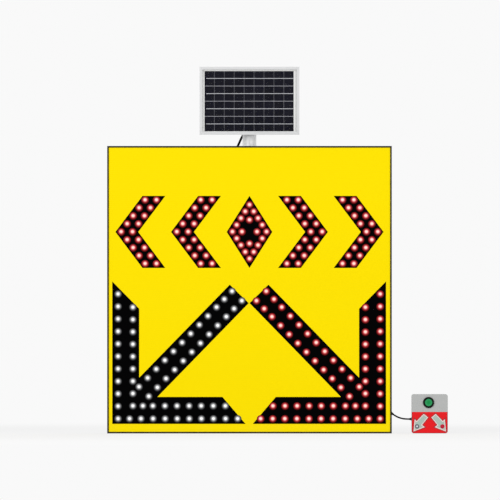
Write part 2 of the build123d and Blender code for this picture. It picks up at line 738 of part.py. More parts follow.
def bend_radii(route, limit):
    """The largest arc, up to a limit, that each corner of a cable's route has room for."""
    radii = []
    for before, corner, after in zip(route, route[1:], route[2:]):
        run_in = Vector(corner) - Vector(before)
        run_out = Vector(after) - Vector(corner)
        half_turn = math.radians(run_in.get_angle(run_out) / 2)
        room = BEND_SHARE * min(run_in.length, run_out.length) / math.tan(half_turn)
        radii.append(min(room, limit))
    return radii


def cable(route, diameter, name, limit=math.inf):
    """Round cable along straight runs and tangent arcs."""
    radii = bend_radii(route, limit)
    with BuildPart() as tube:
        with BuildLine() as path:
            FilletPolyline(*route, radius=radii)
        with BuildSketch(Plane(origin=route[0], z_dir=Vector(route[1]) - Vector(route[0]))):
            Circle(diameter / 2)
        sweep()
    length = sum(edge.length for edge in path.edges())
    full = math.pi * diameter ** 2 / 4 * length
    share = tube.part.volume / full
    print(f"{name}: length {length:.1f}, volume share {share:.4f}, smallest bend {min(radii):.1f}")
    return tube


os.makedirs("parts", exist_ok=True)
CASE_SIDES = frame_sides(-CASE_WIDTH / 2, CASE_WIDTH / 2, 0, CASE_HEIGHT)

# Case frame: mitred bars, held in the corners by angle cleats
CORNER_PLANES = [
    Plane(origin=Vector(corner) + Vector(run) * distance, z_dir=-Vector(inward))
    for corner, inward, run, length in CASE_SIDES.values()
    for near in CLEAT_SCREWS
    for distance in (near, length - near)
]
CONTROL_EXIT = sideways(CASE_WIDTH / 2, 0, CONTROL_EXIT_Z, 1)


def case_bars(names):
    """Bars of the case frame with their holes for screws, rail bolts and the control cable."""
    bars = [mitred_bar(*CASE_SIDES[name], CASE_SECTION) for name in names]
    with BuildPart() as pair:
        for bar in bars:
            add(bar.part)
        with BuildSketch(front_plane(FLANGE_REAR_Y)):
            with Locations(*EDGE_SCREWS):
                Circle(M4 / 2 + HOLE_GAP)
            with Locations(*RAIL_BOLTS):
                Circle(M6 / 2 + HOLE_GAP)
        extrude(amount=FLANGE_THICK, mode=Mode.SUBTRACT)
        with Locations(*CORNER_PLANES):
            CounterSinkHole(
                M4 / 2 + HOLE_GAP,
                COUNTERSINK_DIAMETER / 2 + HOLE_GAP,
                depth=2 * FRAME_WALL,
                counter_sink_angle=COUNTERSINK_ANGLE,
            )
        with Locations(CONTROL_EXIT):
            Hole(BOOT_NECK_DIAMETER / 2 + HOLE_GAP, depth=2 * FRAME_WALL)
    return pair


frame_uprights = case_bars(("left", "right"))
save(frame_uprights, "frame_uprights")
frame_crossbars = case_bars(("bottom", "top"))
save(frame_crossbars, "frame_crossbars")

with BuildPart() as corner_cleats:
    with BuildSketch(front_plane(CLEAT_WIDTH / 2)):
        for side in (-1, 1):
            for wall_z, inwards in ((FRAME_WALL, 1), (CASE_HEIGHT - FRAME_WALL, -1)):
                wall_x = side * (CASE_WIDTH / 2 - FRAME_WALL)
                Polygon(
                    (wall_x, wall_z),
                    (wall_x - side * CLEAT_LEG, wall_z),
                    (wall_x - side * CLEAT_LEG, wall_z + inwards * CLEAT_THICK),
                    (wall_x - side * CLEAT_THICK, wall_z + inwards * CLEAT_THICK),
                    (wall_x - side * CLEAT_THICK, wall_z + inwards * CLEAT_LEG),
                    (wall_x, wall_z + inwards * CLEAT_LEG),
                )
    extrude(amount=CLEAT_WIDTH)
    with Locations(*CORNER_PLANES):
        Hole(M4 / 2 + HOLE_GAP, depth=2 * (FRAME_WALL + CLEAT_THICK))
save(corner_cleats, "corner_cleats")

with BuildPart() as corner_screw:
    with BuildSketch(Plane.XZ):
        Polygon(
            (0, -HOLE_GAP),
            (COUNTERSINK_DIAMETER / 2 - HOLE_GAP, -HOLE_GAP),
            (M4 / 2, -HOLE_GAP - (COUNTERSINK_DIAMETER / 2 - HOLE_GAP - M4 / 2)),
            (M4 / 2, -CORNER_SCREW_LENGTH),
            (0, -CORNER_SCREW_LENGTH),
        )
    revolve(axis=Axis.Z)
    with BuildSketch(Plane.XY.offset(-HOLE_GAP)):
        add(cross_outline(COUNTERSINK_DIAMETER))
    extrude(amount=-M4_HEAD_HEIGHT * CROSS_DEPTH_SHARE, mode=Mode.SUBTRACT)
save(copies(corner_screw, CORNER_PLANES), "corner_screws")

# Face: a holed sheet behind the lip, with film figures on its front
with BuildPart() as face_panel:
    with BuildSketch(front_plane(FACE_REAR_Y)):
        with Locations((0, CASE_HEIGHT / 2)):
            Rectangle(SHEET_WIDTH, SHEET_HEIGHT)
        with Locations(*ALL_LIGHTS):
            Circle(LENS_HOLE_RADIUS, mode=Mode.SUBTRACT)
    extrude(amount=FACE_THICK)
save(face_panel, "face_panel")

ARROWS = [LEFT_ARROW, RIGHT_ARROW]
ARROW_LIGHTS = WHITE_LIGHTS + RIGHT_ARROW_LIGHTS
arrow_films = figure_sheets(ARROWS, FACE_FRONT_Y, FILM_THICK, 0, ARROW_LIGHTS, LENS_HOLE_RADIUS)
save(arrow_films, "arrow_films")
marker_films = figure_sheets(MARKER_FIGURES, FACE_FRONT_Y, FILM_THICK, 0, MARKER_LIGHTS, LENS_HOLE_RADIUS)
save(marker_films, "marker_films")

# Light points: a lens stands on the board, its flange meets the face and its dome shows in front
LENS_SHOULDER = PILLAR_HEIGHT + FACE_THICK + FILM_THICK + LENS_PROUD
LENS_TOP = LENS_SHOULDER + DOME_HEIGHT
DOME_RADIUS = (LENS_DIAMETER ** 2 / 4 + DOME_HEIGHT ** 2) / (2 * DOME_HEIGHT)
DOME_HALF_ANGLE = math.asin(LENS_DIAMETER / 2 / DOME_RADIUS) / 2
DOME_MIDDLE = (
    DOME_RADIUS * math.sin(DOME_HALF_ANGLE),
    LENS_TOP - DOME_RADIUS * (1 - math.cos(DOME_HALF_ANGLE)),
)
with BuildPart() as lens:
    with BuildSketch(Plane.XZ):
        with BuildLine():
            Polyline(
                (0, LENS_TOP),
                (0, LENS_RECESS_DEPTH),
                (LENS_RECESS_RADIUS, LENS_RECESS_DEPTH),
                (LENS_RECESS_RADIUS, 0),
                (LENS_DIAMETER / 2, 0),
                (LENS_DIAMETER / 2, PILLAR_HEIGHT - LENS_FLANGE_THICK),
                (LENS_FLANGE_RADIUS, PILLAR_HEIGHT - LENS_FLANGE_THICK),
                (LENS_FLANGE_RADIUS, PILLAR_HEIGHT),
                (LENS_DIAMETER / 2, PILLAR_HEIGHT),
                (LENS_DIAMETER / 2, LENS_SHOULDER),
            )
            ThreePointArc((LENS_DIAMETER / 2, LENS_SHOULDER), DOME_MIDDLE, (0, LENS_TOP))
        make_face()
    revolve(axis=Axis.Z)
save(copies(lens, forward(BOARD_FRONT_Y, WHITE_LIGHTS)), "white_lenses")
save(copies(lens, forward(BOARD_FRONT_Y, RED_LIGHTS)), "red_lenses")

with BuildPart() as emitter:
    Box(EMITTER_SIZE, EMITTER_SIZE, EMITTER_HEIGHT, align=(Align.CENTER, Align.CENTER, Align.MIN))
save(copies(emitter, forward(BOARD_FRONT_Y, ALL_LIGHTS)), "led_emitters")

SCREW_HOLE_RADIUS = M3 / 2 + HOLE_GAP
arrow_boards = figure_sheets(
    ARROWS, BOARD_REAR_Y, BOARD_THICK, BOARD_INSET, ARROW_PILLARS, SCREW_HOLE_RADIUS
)
save(arrow_boards, "arrow_boards")
marker_boards = figure_sheets(
    MARKER_FIGURES, BOARD_REAR_Y, BOARD_THICK, BOARD_INSET, MARKER_PILLARS, SCREW_HOLE_RADIUS
)
save(marker_boards, "marker_boards")

LIGHT_PILLARS = ARROW_PILLARS + MARKER_PILLARS
with BuildPart() as pillar:
    with BuildSketch():
        Circle(PILLAR_DIAMETER / 2)
    extrude(amount=PILLAR_HEIGHT)
    with BuildSketch():
        Circle(SCREW_HOLE_RADIUS)
    extrude(amount=PILLAR_BORE_DEPTH, mode=Mode.SUBTRACT)
pillar_planes = forward(BOARD_FRONT_Y, LIGHT_PILLARS) + backward(DRIVER_REAR_Y, DRIVER_PILLARS)
save(copies(pillar, pillar_planes), "board_pillars")

board_screw = round_screw(M3, M3_HEAD, M3_HEAD_HEIGHT, BOARD_THICK + BOARD_SCREW_REACH)
board_screw_planes = backward(BOARD_REAR_Y, LIGHT_PILLARS) + forward(DRIVER_FRONT_Y, DRIVER_PILLARS)
save(copies(board_screw, board_screw_planes), "board_screws")

# Rear closing: gasket, panel and the screws through them
with BuildPart() as rear_gasket:
    with BuildSketch(front_plane(PANEL_INNER_Y)):
        with Locations((0, CASE_HEIGHT / 2)):
            Rectangle(SHEET_WIDTH, SHEET_HEIGHT)
            Rectangle(CASE_WIDTH - 2 * FLANGE_WIDTH, CASE_HEIGHT - 2 * FLANGE_WIDTH, mode=Mode.SUBTRACT)
        with Locations(*EDGE_SCREWS):
            Circle(M4 / 2 + HOLE_GAP, mode=Mode.SUBTRACT)
        with Locations(*RAIL_BOLTS):
            Circle(M6 / 2 + HOLE_GAP, mode=Mode.SUBTRACT)
    extrude(amount=GASKET_THICK)
save(rear_gasket, "rear_gasket")

with BuildPart() as rear_panel:
    with BuildSketch(front_plane(REAR_Y)):
        with Locations((0, CASE_HEIGHT / 2)):
            Rectangle(SHEET_WIDTH, SHEET_HEIGHT)
        with Locations(*PANEL_SCREWS):
            Circle(M4 / 2 + HOLE_GAP, mode=Mode.SUBTRACT)
        with Locations(*RAIL_BOLTS):
            Circle(M6 / 2 + HOLE_GAP, mode=Mode.SUBTRACT)
        with Locations(*CLAMP_BOLTS):
            Circle(M8 / 2 + HOLE_GAP, mode=Mode.SUBTRACT)
        with Locations((GLAND_X, GLAND_Z)):
            Circle(GLAND_THREAD_DIAMETER / 2 + HOLE_GAP, mode=Mode.SUBTRACT)
    extrude(amount=REAR_PANEL_THICK)
save(rear_panel, "rear_panel")

panel_screw = round_screw(M4, M4_HEAD, M4_HEAD_HEIGHT, PANEL_SCREW_LENGTH)
save(copies(panel_screw, backward(REAR_Y, PANEL_SCREWS)), "rear_panel_screws")

# Mounting rails: hat sections across the back, with welded nuts behind the mounting holes
CROWN_Y = REAR_Y + RAIL_DEPTH
with BuildPart() as mounting_rails:
    for rail_z in RAIL_HEIGHTS:
        with BuildSketch(Plane.YZ):
            with BuildLine():
                FilletPolyline(
                    (REAR_Y + RAIL_WALL, rail_z - RAIL_WIDTH / 2),
                    (REAR_Y + RAIL_WALL, rail_z - RAIL_CROWN / 2),
                    (CROWN_Y, rail_z - RAIL_CROWN / 2),
                    (CROWN_Y, rail_z + RAIL_CROWN / 2),
                    (REAR_Y + RAIL_WALL, rail_z + RAIL_CROWN / 2),
                    (REAR_Y + RAIL_WALL, rail_z + RAIL_WIDTH / 2),
                    radius=RAIL_BEND,
                )
                offset(amount=RAIL_WALL, side=Side.LEFT)
            make_face()
    extrude(amount=CASE_WIDTH / 2 - RAIL_LENGTH_GAP, both=True)
    with BuildSketch(front_plane(REAR_Y + RAIL_WALL)):
        with Locations(*RAIL_BOLTS):
            Circle(M6 / 2 + HOLE_GAP)
    extrude(amount=RAIL_WALL, mode=Mode.SUBTRACT)
    with BuildSketch(front_plane(CROWN_Y)):
        with Locations(*MOUNT_HOLES):
            Circle(MOUNT_HOLE_DIAMETER / 2)
    extrude(amount=RAIL_WALL, mode=Mode.SUBTRACT)
save(mounting_rails, "mounting_rails")

rail_bolt = hex_bolt(M6, M6_HEAD, M6_HEAD_HEIGHT, RAIL_BOLT_LENGTH)
save(copies(rail_bolt, backward(REAR_Y + RAIL_WALL, RAIL_BOLTS)), "rail_bolts")

# Battery, its tray and strap
BATTERY_REAR_Y = PANEL_INNER_Y - TRAY_SHEET - BATTERY_GAP
BATTERY_FRONT_Y = BATTERY_REAR_Y - BATTERY_DEPTH
BATTERY_Y = (BATTERY_REAR_Y + BATTERY_FRONT_Y) / 2
BATTERY_BOTTOM = TRAY_Z + TRAY_SHEET
BATTERY_TOP = BATTERY_BOTTOM + BATTERY_HEIGHT
with BuildPart() as battery:
    with Locations((0, BATTERY_Y, BATTERY_BOTTOM)):
        Box(
            BATTERY_WIDTH, BATTERY_DEPTH, BATTERY_HEIGHT, align=(Align.CENTER, Align.CENTER, Align.MIN)
        )
    chamfer(battery.edges().filter_by(Axis.Z), BATTERY_EDGE)
    with Locations((0, BATTERY_Y, BATTERY_TOP)):
        with GridLocations(TERMINAL_SPACING, 0, 2, 1):
            Box(
                TERMINAL_SIZE, TERMINAL_SIZE, TERMINAL_SIZE, align=(Align.CENTER, Align.CENTER, Align.MIN)
            )
save(battery, "battery")

TRAY_FRONT_Y = BATTERY_FRONT_Y - BATTERY_GAP
with BuildPart() as battery_tray:
    with BuildSketch(Plane.YZ):
        Polygon(
            (PANEL_INNER_Y, TRAY_Z),
            (TRAY_FRONT_Y - TRAY_SHEET, TRAY_Z),
            (TRAY_FRONT_Y - TRAY_SHEET, TRAY_Z + TRAY_LIP),
            (TRAY_FRONT_Y, TRAY_Z + TRAY_LIP),
            (TRAY_FRONT_Y, TRAY_Z + TRAY_SHEET),
            (PANEL_INNER_Y, TRAY_Z + TRAY_SHEET),
        )
    extrude(amount=BATTERY_WIDTH / 2, both=True)
    with BuildSketch(front_plane(PANEL_INNER_Y)):
        with Locations((0, TRAY_Z + TRAY_BACK_HEIGHT / 2)):
            Rectangle(BATTERY_WIDTH + 2 * (TRAY_SHEET + TRAY_EAR), TRAY_BACK_HEIGHT)
        with Locations(*TRAY_SCREWS):
            Circle(M4 / 2 + HOLE_GAP, mode=Mode.SUBTRACT)
    extrude(amount=TRAY_SHEET)
save(battery_tray, "battery_tray")

STRAP_Z = TRAY_Z + STRAP_SCREW_RISE
STRAP_INNER_X = BATTERY_WIDTH / 2 + BATTERY_GAP
STRAP_REAR_Y = PANEL_INNER_Y - TRAY_SHEET
STRAP_FRONT_Y = BATTERY_FRONT_Y - BATTERY_GAP
with BuildPart() as battery_strap:
    with BuildSketch(Plane.XY.offset(STRAP_Z - STRAP_HEIGHT / 2)):
        with BuildLine():
            Polyline(
                (0, STRAP_FRONT_Y),
                (STRAP_INNER_X, STRAP_FRONT_Y),
                (STRAP_INNER_X, STRAP_REAR_Y),
                (BATTERY_WIDTH / 2 + TRAY_SHEET + TRAY_EAR, STRAP_REAR_Y),
                (BATTERY_WIDTH / 2 + TRAY_SHEET + TRAY_EAR, STRAP_REAR_Y - TRAY_SHEET),
                (STRAP_INNER_X + TRAY_SHEET, STRAP_REAR_Y - TRAY_SHEET),
                (STRAP_INNER_X + TRAY_SHEET, STRAP_FRONT_Y - TRAY_SHEET),
                (0, STRAP_FRONT_Y - TRAY_SHEET),
            )
            mirror(about=Plane.YZ)
        make_face()
    extrude(amount=STRAP_HEIGHT)
    with Locations(*backward(PANEL_INNER_Y, [(-TRAY_EAR_X, STRAP_Z), (TRAY_EAR_X, STRAP_Z)])):
        Hole(M4 / 2 + HOLE_GAP, depth=3 * TRAY_SHEET)
save(battery_strap, "battery_strap")

# Charge controller and driver board
with BuildPart() as charge_controller:
    with BuildSketch(front_plane(PANEL_INNER_Y)):
        with Locations((CONTROLLER_X, CONTROLLER_Z)):
            RectangleRounded(CONTROLLER_WIDTH, CONTROLLER_HEIGHT, CONTROLLER_EDGE)
    extrude(amount=CONTROLLER_DEPTH)
    with BuildSketch(front_plane(PANEL_INNER_Y)):
        with Locations((CONTROLLER_X, CONTROLLER_Z)):
            RectangleRounded(
                CONTROLLER_WIDTH + 2 * CONTROLLER_FOOT, CONTROLLER_HEIGHT / 2, CONTROLLER_EDGE
            )
        with Locations(*CONTROLLER_SCREWS):
            Circle(M4 / 2 + HOLE_GAP, mode=Mode.SUBTRACT)
    extrude(amount=CONTROLLER_FOOT_THICK)
save(charge_controller, "charge_controller")

CHIP_SIZE = 18
CHIP_HEIGHT = 4
CHIP_SPACING = 34
CONNECTOR_SIZE = 12
with BuildPart() as driver_board:
    with BuildSketch(front_plane(DRIVER_REAR_Y)):
        with Locations((DRIVER_X, DRIVER_Z)):
            Rectangle(DRIVER_WIDTH, DRIVER_HEIGHT)
        with Locations(*DRIVER_PILLARS):
            Circle(SCREW_HOLE_RADIUS, mode=Mode.SUBTRACT)
    extrude(amount=BOARD_THICK)
    with BuildSketch(front_plane(DRIVER_FRONT_Y)):
        with Locations((DRIVER_X, DRIVER_Z)):
            with GridLocations(CHIP_SPACING, CHIP_SPACING, 2, 2):
                Rectangle(CHIP_SIZE, CHIP_SIZE)
    extrude(amount=CHIP_HEIGHT)
    with BuildSketch(front_plane(DRIVER_FRONT_Y)):
        for side in (-1, 1):
            with Locations((DRIVER_X, DRIVER_Z + side * (DRIVER_HEIGHT - CONNECTOR_SIZE) / 2)):
                Rectangle(DRIVER_WIDTH / 2, CONNECTOR_SIZE)
    extrude(amount=CONNECTOR_SIZE)
save(driver_board, "driver_board")

# Clamps that hold the post to the rear panel: a grooved cradle and a strap with bolts through to a plate
BORE_RADIUS = POST_RADIUS + CLAMP_FIT
EAR_REAR_Y = POST_Y + CLAMP_SPLIT / 2 + CLAMP_EAR_THICK
with BuildPart() as clamp_cradles:
    for height in CLAMP_HEIGHTS:
        with BuildSketch(Plane.XY.offset(height - CLAMP_HEIGHT / 2)):
            cradle_depth = POST_Y - CLAMP_SPLIT / 2 - REAR_Y
            with Locations((0, REAR_Y + cradle_depth / 2)):
                RectangleRounded(2 * CLAMP_HALF_WIDTH, cradle_depth, CLAMP_EDGE)
            with Locations((0, POST_Y)):
                Circle(BORE_RADIUS, mode=Mode.SUBTRACT)
        extrude(amount=CLAMP_HEIGHT)
    with Locations(*backward(POST_Y, CLAMP_BOLTS)):
        Hole(M8 / 2 + HOLE_GAP, depth=POST_Y)
save(clamp_cradles, "clamp_cradles")

with BuildPart() as clamp_straps:
    for height in CLAMP_HEIGHTS:
        with BuildSketch(Plane.XY.offset(height - CLAMP_HEIGHT / 2)):
            with Locations((0, POST_Y)):
                Circle(BORE_RADIUS + STRAP_WALL)
            with Locations((0, EAR_REAR_Y - CLAMP_EAR_THICK / 2)):
                RectangleRounded(2 * CLAMP_HALF_WIDTH, CLAMP_EAR_THICK, CLAMP_EDGE)
            with Locations((0, POST_Y)):
                Circle(BORE_RADIUS, mode=Mode.SUBTRACT)
            with Locations((0, POST_Y + CLAMP_SPLIT / 2 - CLAMP_HALF_WIDTH)):
                Rectangle(2 * CLAMP_HALF_WIDTH, 2 * CLAMP_HALF_WIDTH, mode=Mode.SUBTRACT)
        extrude(amount=CLAMP_HEIGHT)
    with Locations(*backward(EAR_REAR_Y, CLAMP_BOLTS)):
        Hole(M8 / 2 + HOLE_GAP, depth=2 * CLAMP_EAR_THICK)
save(clamp_straps, "clamp_straps")

BACKING_FRONT_Y = PANEL_INNER_Y - BACKING_THICK
with BuildPart() as clamp_backing_plate:
    with BuildSketch(front_plane(PANEL_INNER_Y)):
        with Locations((0, sum(CLAMP_HEIGHTS) / 2)):
            Rectangle(
                2 * (CLAMP_BOLT_X + BACKING_MARGIN),
                max(CLAMP_HEIGHTS) - min(CLAMP_HEIGHTS) + 2 * BACKING_MARGIN,
            )
        with Locations(*CLAMP_BOLTS):
            Circle(M8 / 2 + HOLE_GAP, mode=Mode.SUBTRACT)
    extrude(amount=BACKING_THICK)
save(clamp_backing_plate, "clamp_backing_plate")

clamp_bolt_length = EAR_REAR_Y - BACKING_FRONT_Y + M8_NUT_HEIGHT + BOLT_TAIL
clamp_bolt = hex_bolt(M8, M8_HEAD, M8_HEAD_HEIGHT, clamp_bolt_length)
save(copies(clamp_bolt, backward(EAR_REAR_Y, CLAMP_BOLTS)), "clamp_bolts")

# Post: a round tube with end caps, drilled across for the pivot and lock bolts
LOCK_Z = PIVOT_Z - LOCK_RADIUS
with BuildPart() as post:
    with BuildSketch(Plane.XY.offset(POST_BOTTOM)):
        with Locations((0, POST_Y)):
            Circle(POST_RADIUS)
            Circle(POST_RADIUS - POST_WALL, mode=Mode.SUBTRACT)
    extrude(amount=POST_TOP - POST_BOTTOM)
    with Locations(sideways(POST_RADIUS, POST_Y, PIVOT_Z, 1)):
        Hole(M8 / 2 + HOLE_GAP, depth=POST_DIAMETER)
    with Locations(sideways(POST_RADIUS, POST_Y, LOCK_Z, 1)):
        Hole(M6 / 2 + HOLE_GAP, depth=POST_DIAMETER)
save(post, "post")

with BuildPart() as post_cap:
    Cylinder(POST_RADIUS, POST_CAP_THICK, align=(Align.CENTER, Align.CENTER, Align.MIN))
    chamfer(post_cap.edges().sort_by(Axis.Z)[-1], HEAD_CHAMFER)
    Cylinder(
        POST_RADIUS - POST_WALL - HOLE_GAP, POST_CAP_DEPTH, align=(Align.CENTER, Align.CENTER, Align.MAX)
    )
cap_planes = [
    Plane(origin=(0, POST_Y, POST_TOP), z_dir=(0, 0, 1)),
    Plane(origin=(0, POST_Y, POST_BOTTOM), z_dir=(0, 0, -1)),
]
save(copies(post_cap, cap_planes), "post_caps")

# Tilt yoke: two ears straddle the post, with a hole for the pivot and a curved slot for the lock bolt
EAR_INNER_X = POST_RADIUS + EAR_GAP
EAR_OUTER_X = EAR_INNER_X + EAR_THICK
YOKE_BOLTS = [
    (x, PIVOT_Z + rise) for x in (-STRUT_X, STRUT_X) for rise in (-YOKE_BOLT_RISE, YOKE_BOLT_RISE)
]
lock_arc = CenterArc((0, 0), LOCK_RADIUS, -90 - SLOT_SPARE_ANGLE, TILT_RANGE + 2 * SLOT_SPARE_ANGLE)
with BuildPart() as tilt_yoke:
    for ear_x in (EAR_INNER_X, -EAR_OUTER_X):
        with BuildSketch(Plane.YZ.offset(ear_x)):
            with Locations((POST_Y, PIVOT_Z)):
                Circle(EAR_RADIUS)
            with Locations((POST_Y - WEB_REACH / 2, PIVOT_Z)):
                Rectangle(WEB_REACH, 2 * WEB_HALF_HEIGHT)
            with Locations((POST_Y - WEB_REACH - EAR_RADIUS, PIVOT_Z)):
                Rectangle(2 * EAR_RADIUS, 3 * EAR_RADIUS, mode=Mode.SUBTRACT)
            with Locations((POST_Y, PIVOT_Z)):
                Circle(M8 / 2 + PIVOT_FIT, mode=Mode.SUBTRACT)
                SlotArc(lock_arc, M6 + 2 * SLOT_GAP, mode=Mode.SUBTRACT)
        extrude(amount=EAR_THICK)
    with BuildSketch(front_plane(WEB_REAR_Y)):
        with Locations((0, PIVOT_Z)):
            Rectangle(2 * WEB_HALF_WIDTH, 2 * WEB_HALF_HEIGHT)
        with Locations(*YOKE_BOLTS):
            Circle(M5 / 2 + HOLE_GAP, mode=Mode.SUBTRACT)
    extrude(amount=EAR_THICK)
save(tilt_yoke, "tilt_yoke")

cross_bolt_grip = 2 * EAR_OUTER_X
pivot_bolt = hex_bolt(M8, M8_HEAD, M8_HEAD_HEIGHT, cross_bolt_grip + M8_NUT_HEIGHT + BOLT_TAIL)
save(copies(pivot_bolt, [sideways(EAR_OUTER_X, POST_Y, PIVOT_Z, 1)]), "pivot_bolt")
lock_bolt = hex_bolt(M6, M6_HEAD, M6_HEAD_HEIGHT, cross_bolt_grip + M6_NUT_HEIGHT + BOLT_TAIL)
save(copies(lock_bolt, [sideways(EAR_OUTER_X, POST_Y, LOCK_Z, 1)]), "lock_bolt")

m8_nut = hex_nut(M8, M8_HEAD, M8_NUT_HEIGHT)
m8_planes = forward(CROWN_Y - RAIL_WALL, MOUNT_HOLES) + forward(BACKING_FRONT_Y, CLAMP_BOLTS)
m8_planes += [sideways(-EAR_OUTER_X, POST_Y, PIVOT_Z, -1)]
save(copies(m8_nut, m8_planes), "m8_nuts")
m6_nut = hex_nut(M6, M6_HEAD, M6_NUT_HEIGHT)
m6_planes = forward(FLANGE_FRONT_Y, RAIL_BOLTS) + [sideways(-EAR_OUTER_X, POST_Y, LOCK_Z, -1)]
save(copies(m6_nut, m6_planes), "m6_nuts")

# Solar panel: mitred frame, glass, cells with their ribbons, backsheet, struts and junction box
PANEL_SIDES = frame_sides(-PANEL_WIDTH / 2, PANEL_WIDTH / 2, PANEL_BOTTOM, PANEL_TOP)
STRUT_SCREWS = [
    (x, z)
    for x in (-STRUT_X, STRUT_X)
    for z in (PANEL_BOTTOM + STRUT_SCREW_INSET, PANEL_TOP - STRUT_SCREW_INSET)
]
panel_bars = [mitred_bar(*side, PANEL_SECTION) for side in PANEL_SIDES.values()]
with BuildPart() as panel_frame:
    for panel_bar in panel_bars:
        add(panel_bar.part)
    with BuildSketch(front_plane(PANEL_REAR_Y)):
        with Locations(*STRUT_SCREWS):
            Circle(M5 / 2 + HOLE_GAP)
    extrude(amount=PANEL_WALL, mode=Mode.SUBTRACT)
save(panel_frame, "panel_frame")

PANE_WIDTH = PANEL_WIDTH - 2 * (PANEL_WALL + GLASS_GAP)
PANE_HEIGHT = PANEL_HEIGHT - 2 * (PANEL_WALL + GLASS_GAP)
with BuildPart() as panel_glass:
    with BuildSketch(front_plane(GLASS_REAR_Y)):
        with Locations((0, PIVOT_Z)):
            Rectangle(PANE_WIDTH, PANE_HEIGHT)
    extrude(amount=GLASS_THICK)
save(panel_glass, "panel_glass")

with BuildPart() as panel_backsheet:
    with BuildSketch(front_plane(BACKSHEET_REAR_Y)):
        with Locations((0, PIVOT_Z)):
            Rectangle(PANE_WIDTH, PANE_HEIGHT)
    extrude(amount=BACKSHEET_THICK)
save(panel_backsheet, "panel_backsheet")

FIELD_WIDTH = PANEL_WIDTH - CELL_LEFT_MARGIN - CELL_RIGHT_MARGIN
FIELD_HEIGHT = PANEL_HEIGHT - CELL_TOP_MARGIN - CELL_BOTTOM_MARGIN
FIELD_X = (CELL_LEFT_MARGIN - CELL_RIGHT_MARGIN) / 2
FIELD_Z = PIVOT_Z + (CELL_BOTTOM_MARGIN - CELL_TOP_MARGIN) / 2
COLUMN_PITCH = (FIELD_WIDTH + CELL_COLUMN_GAP) / CELL_COLUMNS
ROW_PITCH = (FIELD_HEIGHT + CELL_ROW_GAP) / CELL_ROWS
with BuildPart() as solar_cells:
    with BuildSketch(front_plane(CELL_REAR_Y)):
        with Locations((FIELD_X, FIELD_Z)):
            with GridLocations(COLUMN_PITCH, ROW_PITCH, CELL_COLUMNS, CELL_ROWS):
                Rectangle(COLUMN_PITCH - CELL_COLUMN_GAP, ROW_PITCH - CELL_ROW_GAP)
    extrude(amount=CELL_THICK)
save(solar_cells, "solar_cells")

with BuildPart() as cell_ribbons:
    with BuildSketch(front_plane(CELL_FRONT_Y)):
        with Locations((FIELD_X + RIBBON_INSET / 2, FIELD_Z)):
            with GridLocations(0, ROW_PITCH, 1, CELL_ROWS):
                Rectangle(FIELD_WIDTH - RIBBON_INSET, RIBBON_WIDTH)
    extrude(amount=RIBBON_THICK)
save(cell_ribbons, "cell_ribbons")

with BuildPart() as panel_struts:
    with BuildSketch(front_plane(WEB_FRONT_Y)):
        with Locations((0, PIVOT_Z)):
            with GridLocations(2 * STRUT_X, 0, 2, 1):
                Rectangle(STRUT_WIDTH, PANEL_HEIGHT - 2 * STRUT_END_GAP)
        with Locations(*STRUT_SCREWS, *YOKE_BOLTS):
            Circle(M5 / 2 + HOLE_GAP, mode=Mode.SUBTRACT)
    extrude(amount=STRUT_THICK)
save(panel_struts, "panel_struts")

strut_bolt = hex_bolt(M5, M5_HEAD, M5_HEAD_HEIGHT, STRUT_BOLT_LENGTH)
strut_bolt_planes = backward(WEB_FRONT_Y, STRUT_SCREWS) + backward(WEB_REAR_Y, YOKE_BOLTS)
save(copies(strut_bolt, strut_bolt_planes), "strut_bolts")

with BuildPart() as junction_box:
    with BuildSketch(front_plane(BACKSHEET_REAR_Y + JUNCTION_DEPTH)):
        with Locations((JUNCTION_X, JUNCTION_BOTTOM + JUNCTION_HEIGHT / 2)):
            Rectangle(JUNCTION_WIDTH, JUNCTION_HEIGHT)
    extrude(amount=JUNCTION_DEPTH)
    chamfer(junction_box.faces().sort_by(Axis.Y)[-1].edges(), JUNCTION_EDGE)
    with BuildSketch(front_plane(BACKSHEET_REAR_Y + JUNCTION_DEPTH + JUNCTION_LID_RISE)):
        with Locations((JUNCTION_X, JUNCTION_BOTTOM + JUNCTION_HEIGHT / 2)):
            Rectangle(JUNCTION_WIDTH - 2 * JUNCTION_LID_INSET, JUNCTION_HEIGHT - 2 * JUNCTION_LID_INSET)
    extrude(amount=JUNCTION_LID_RISE)
    with BuildSketch(Plane.XY.offset(NECK_BOTTOM)):
        with Locations((JUNCTION_X, NECK_Y)):
            Circle(NECK_DIAMETER / 2)
    extrude(amount=NECK_LENGTH + NECK_DIAMETER / 2)
save(junction_box, "junction_box")

# Cables, the panel cable's gland and the control cable's boots
panel_cable = cable(PANEL_CABLE_ROUTE, PANEL_CABLE_DIAMETER, "panel_cable")
save(panel_cable, "panel_cable")
control_cable = cable(CONTROL_CABLE_ROUTE, CONTROL_CABLE_DIAMETER, "control_cable")
save(control_cable, "control_cable")

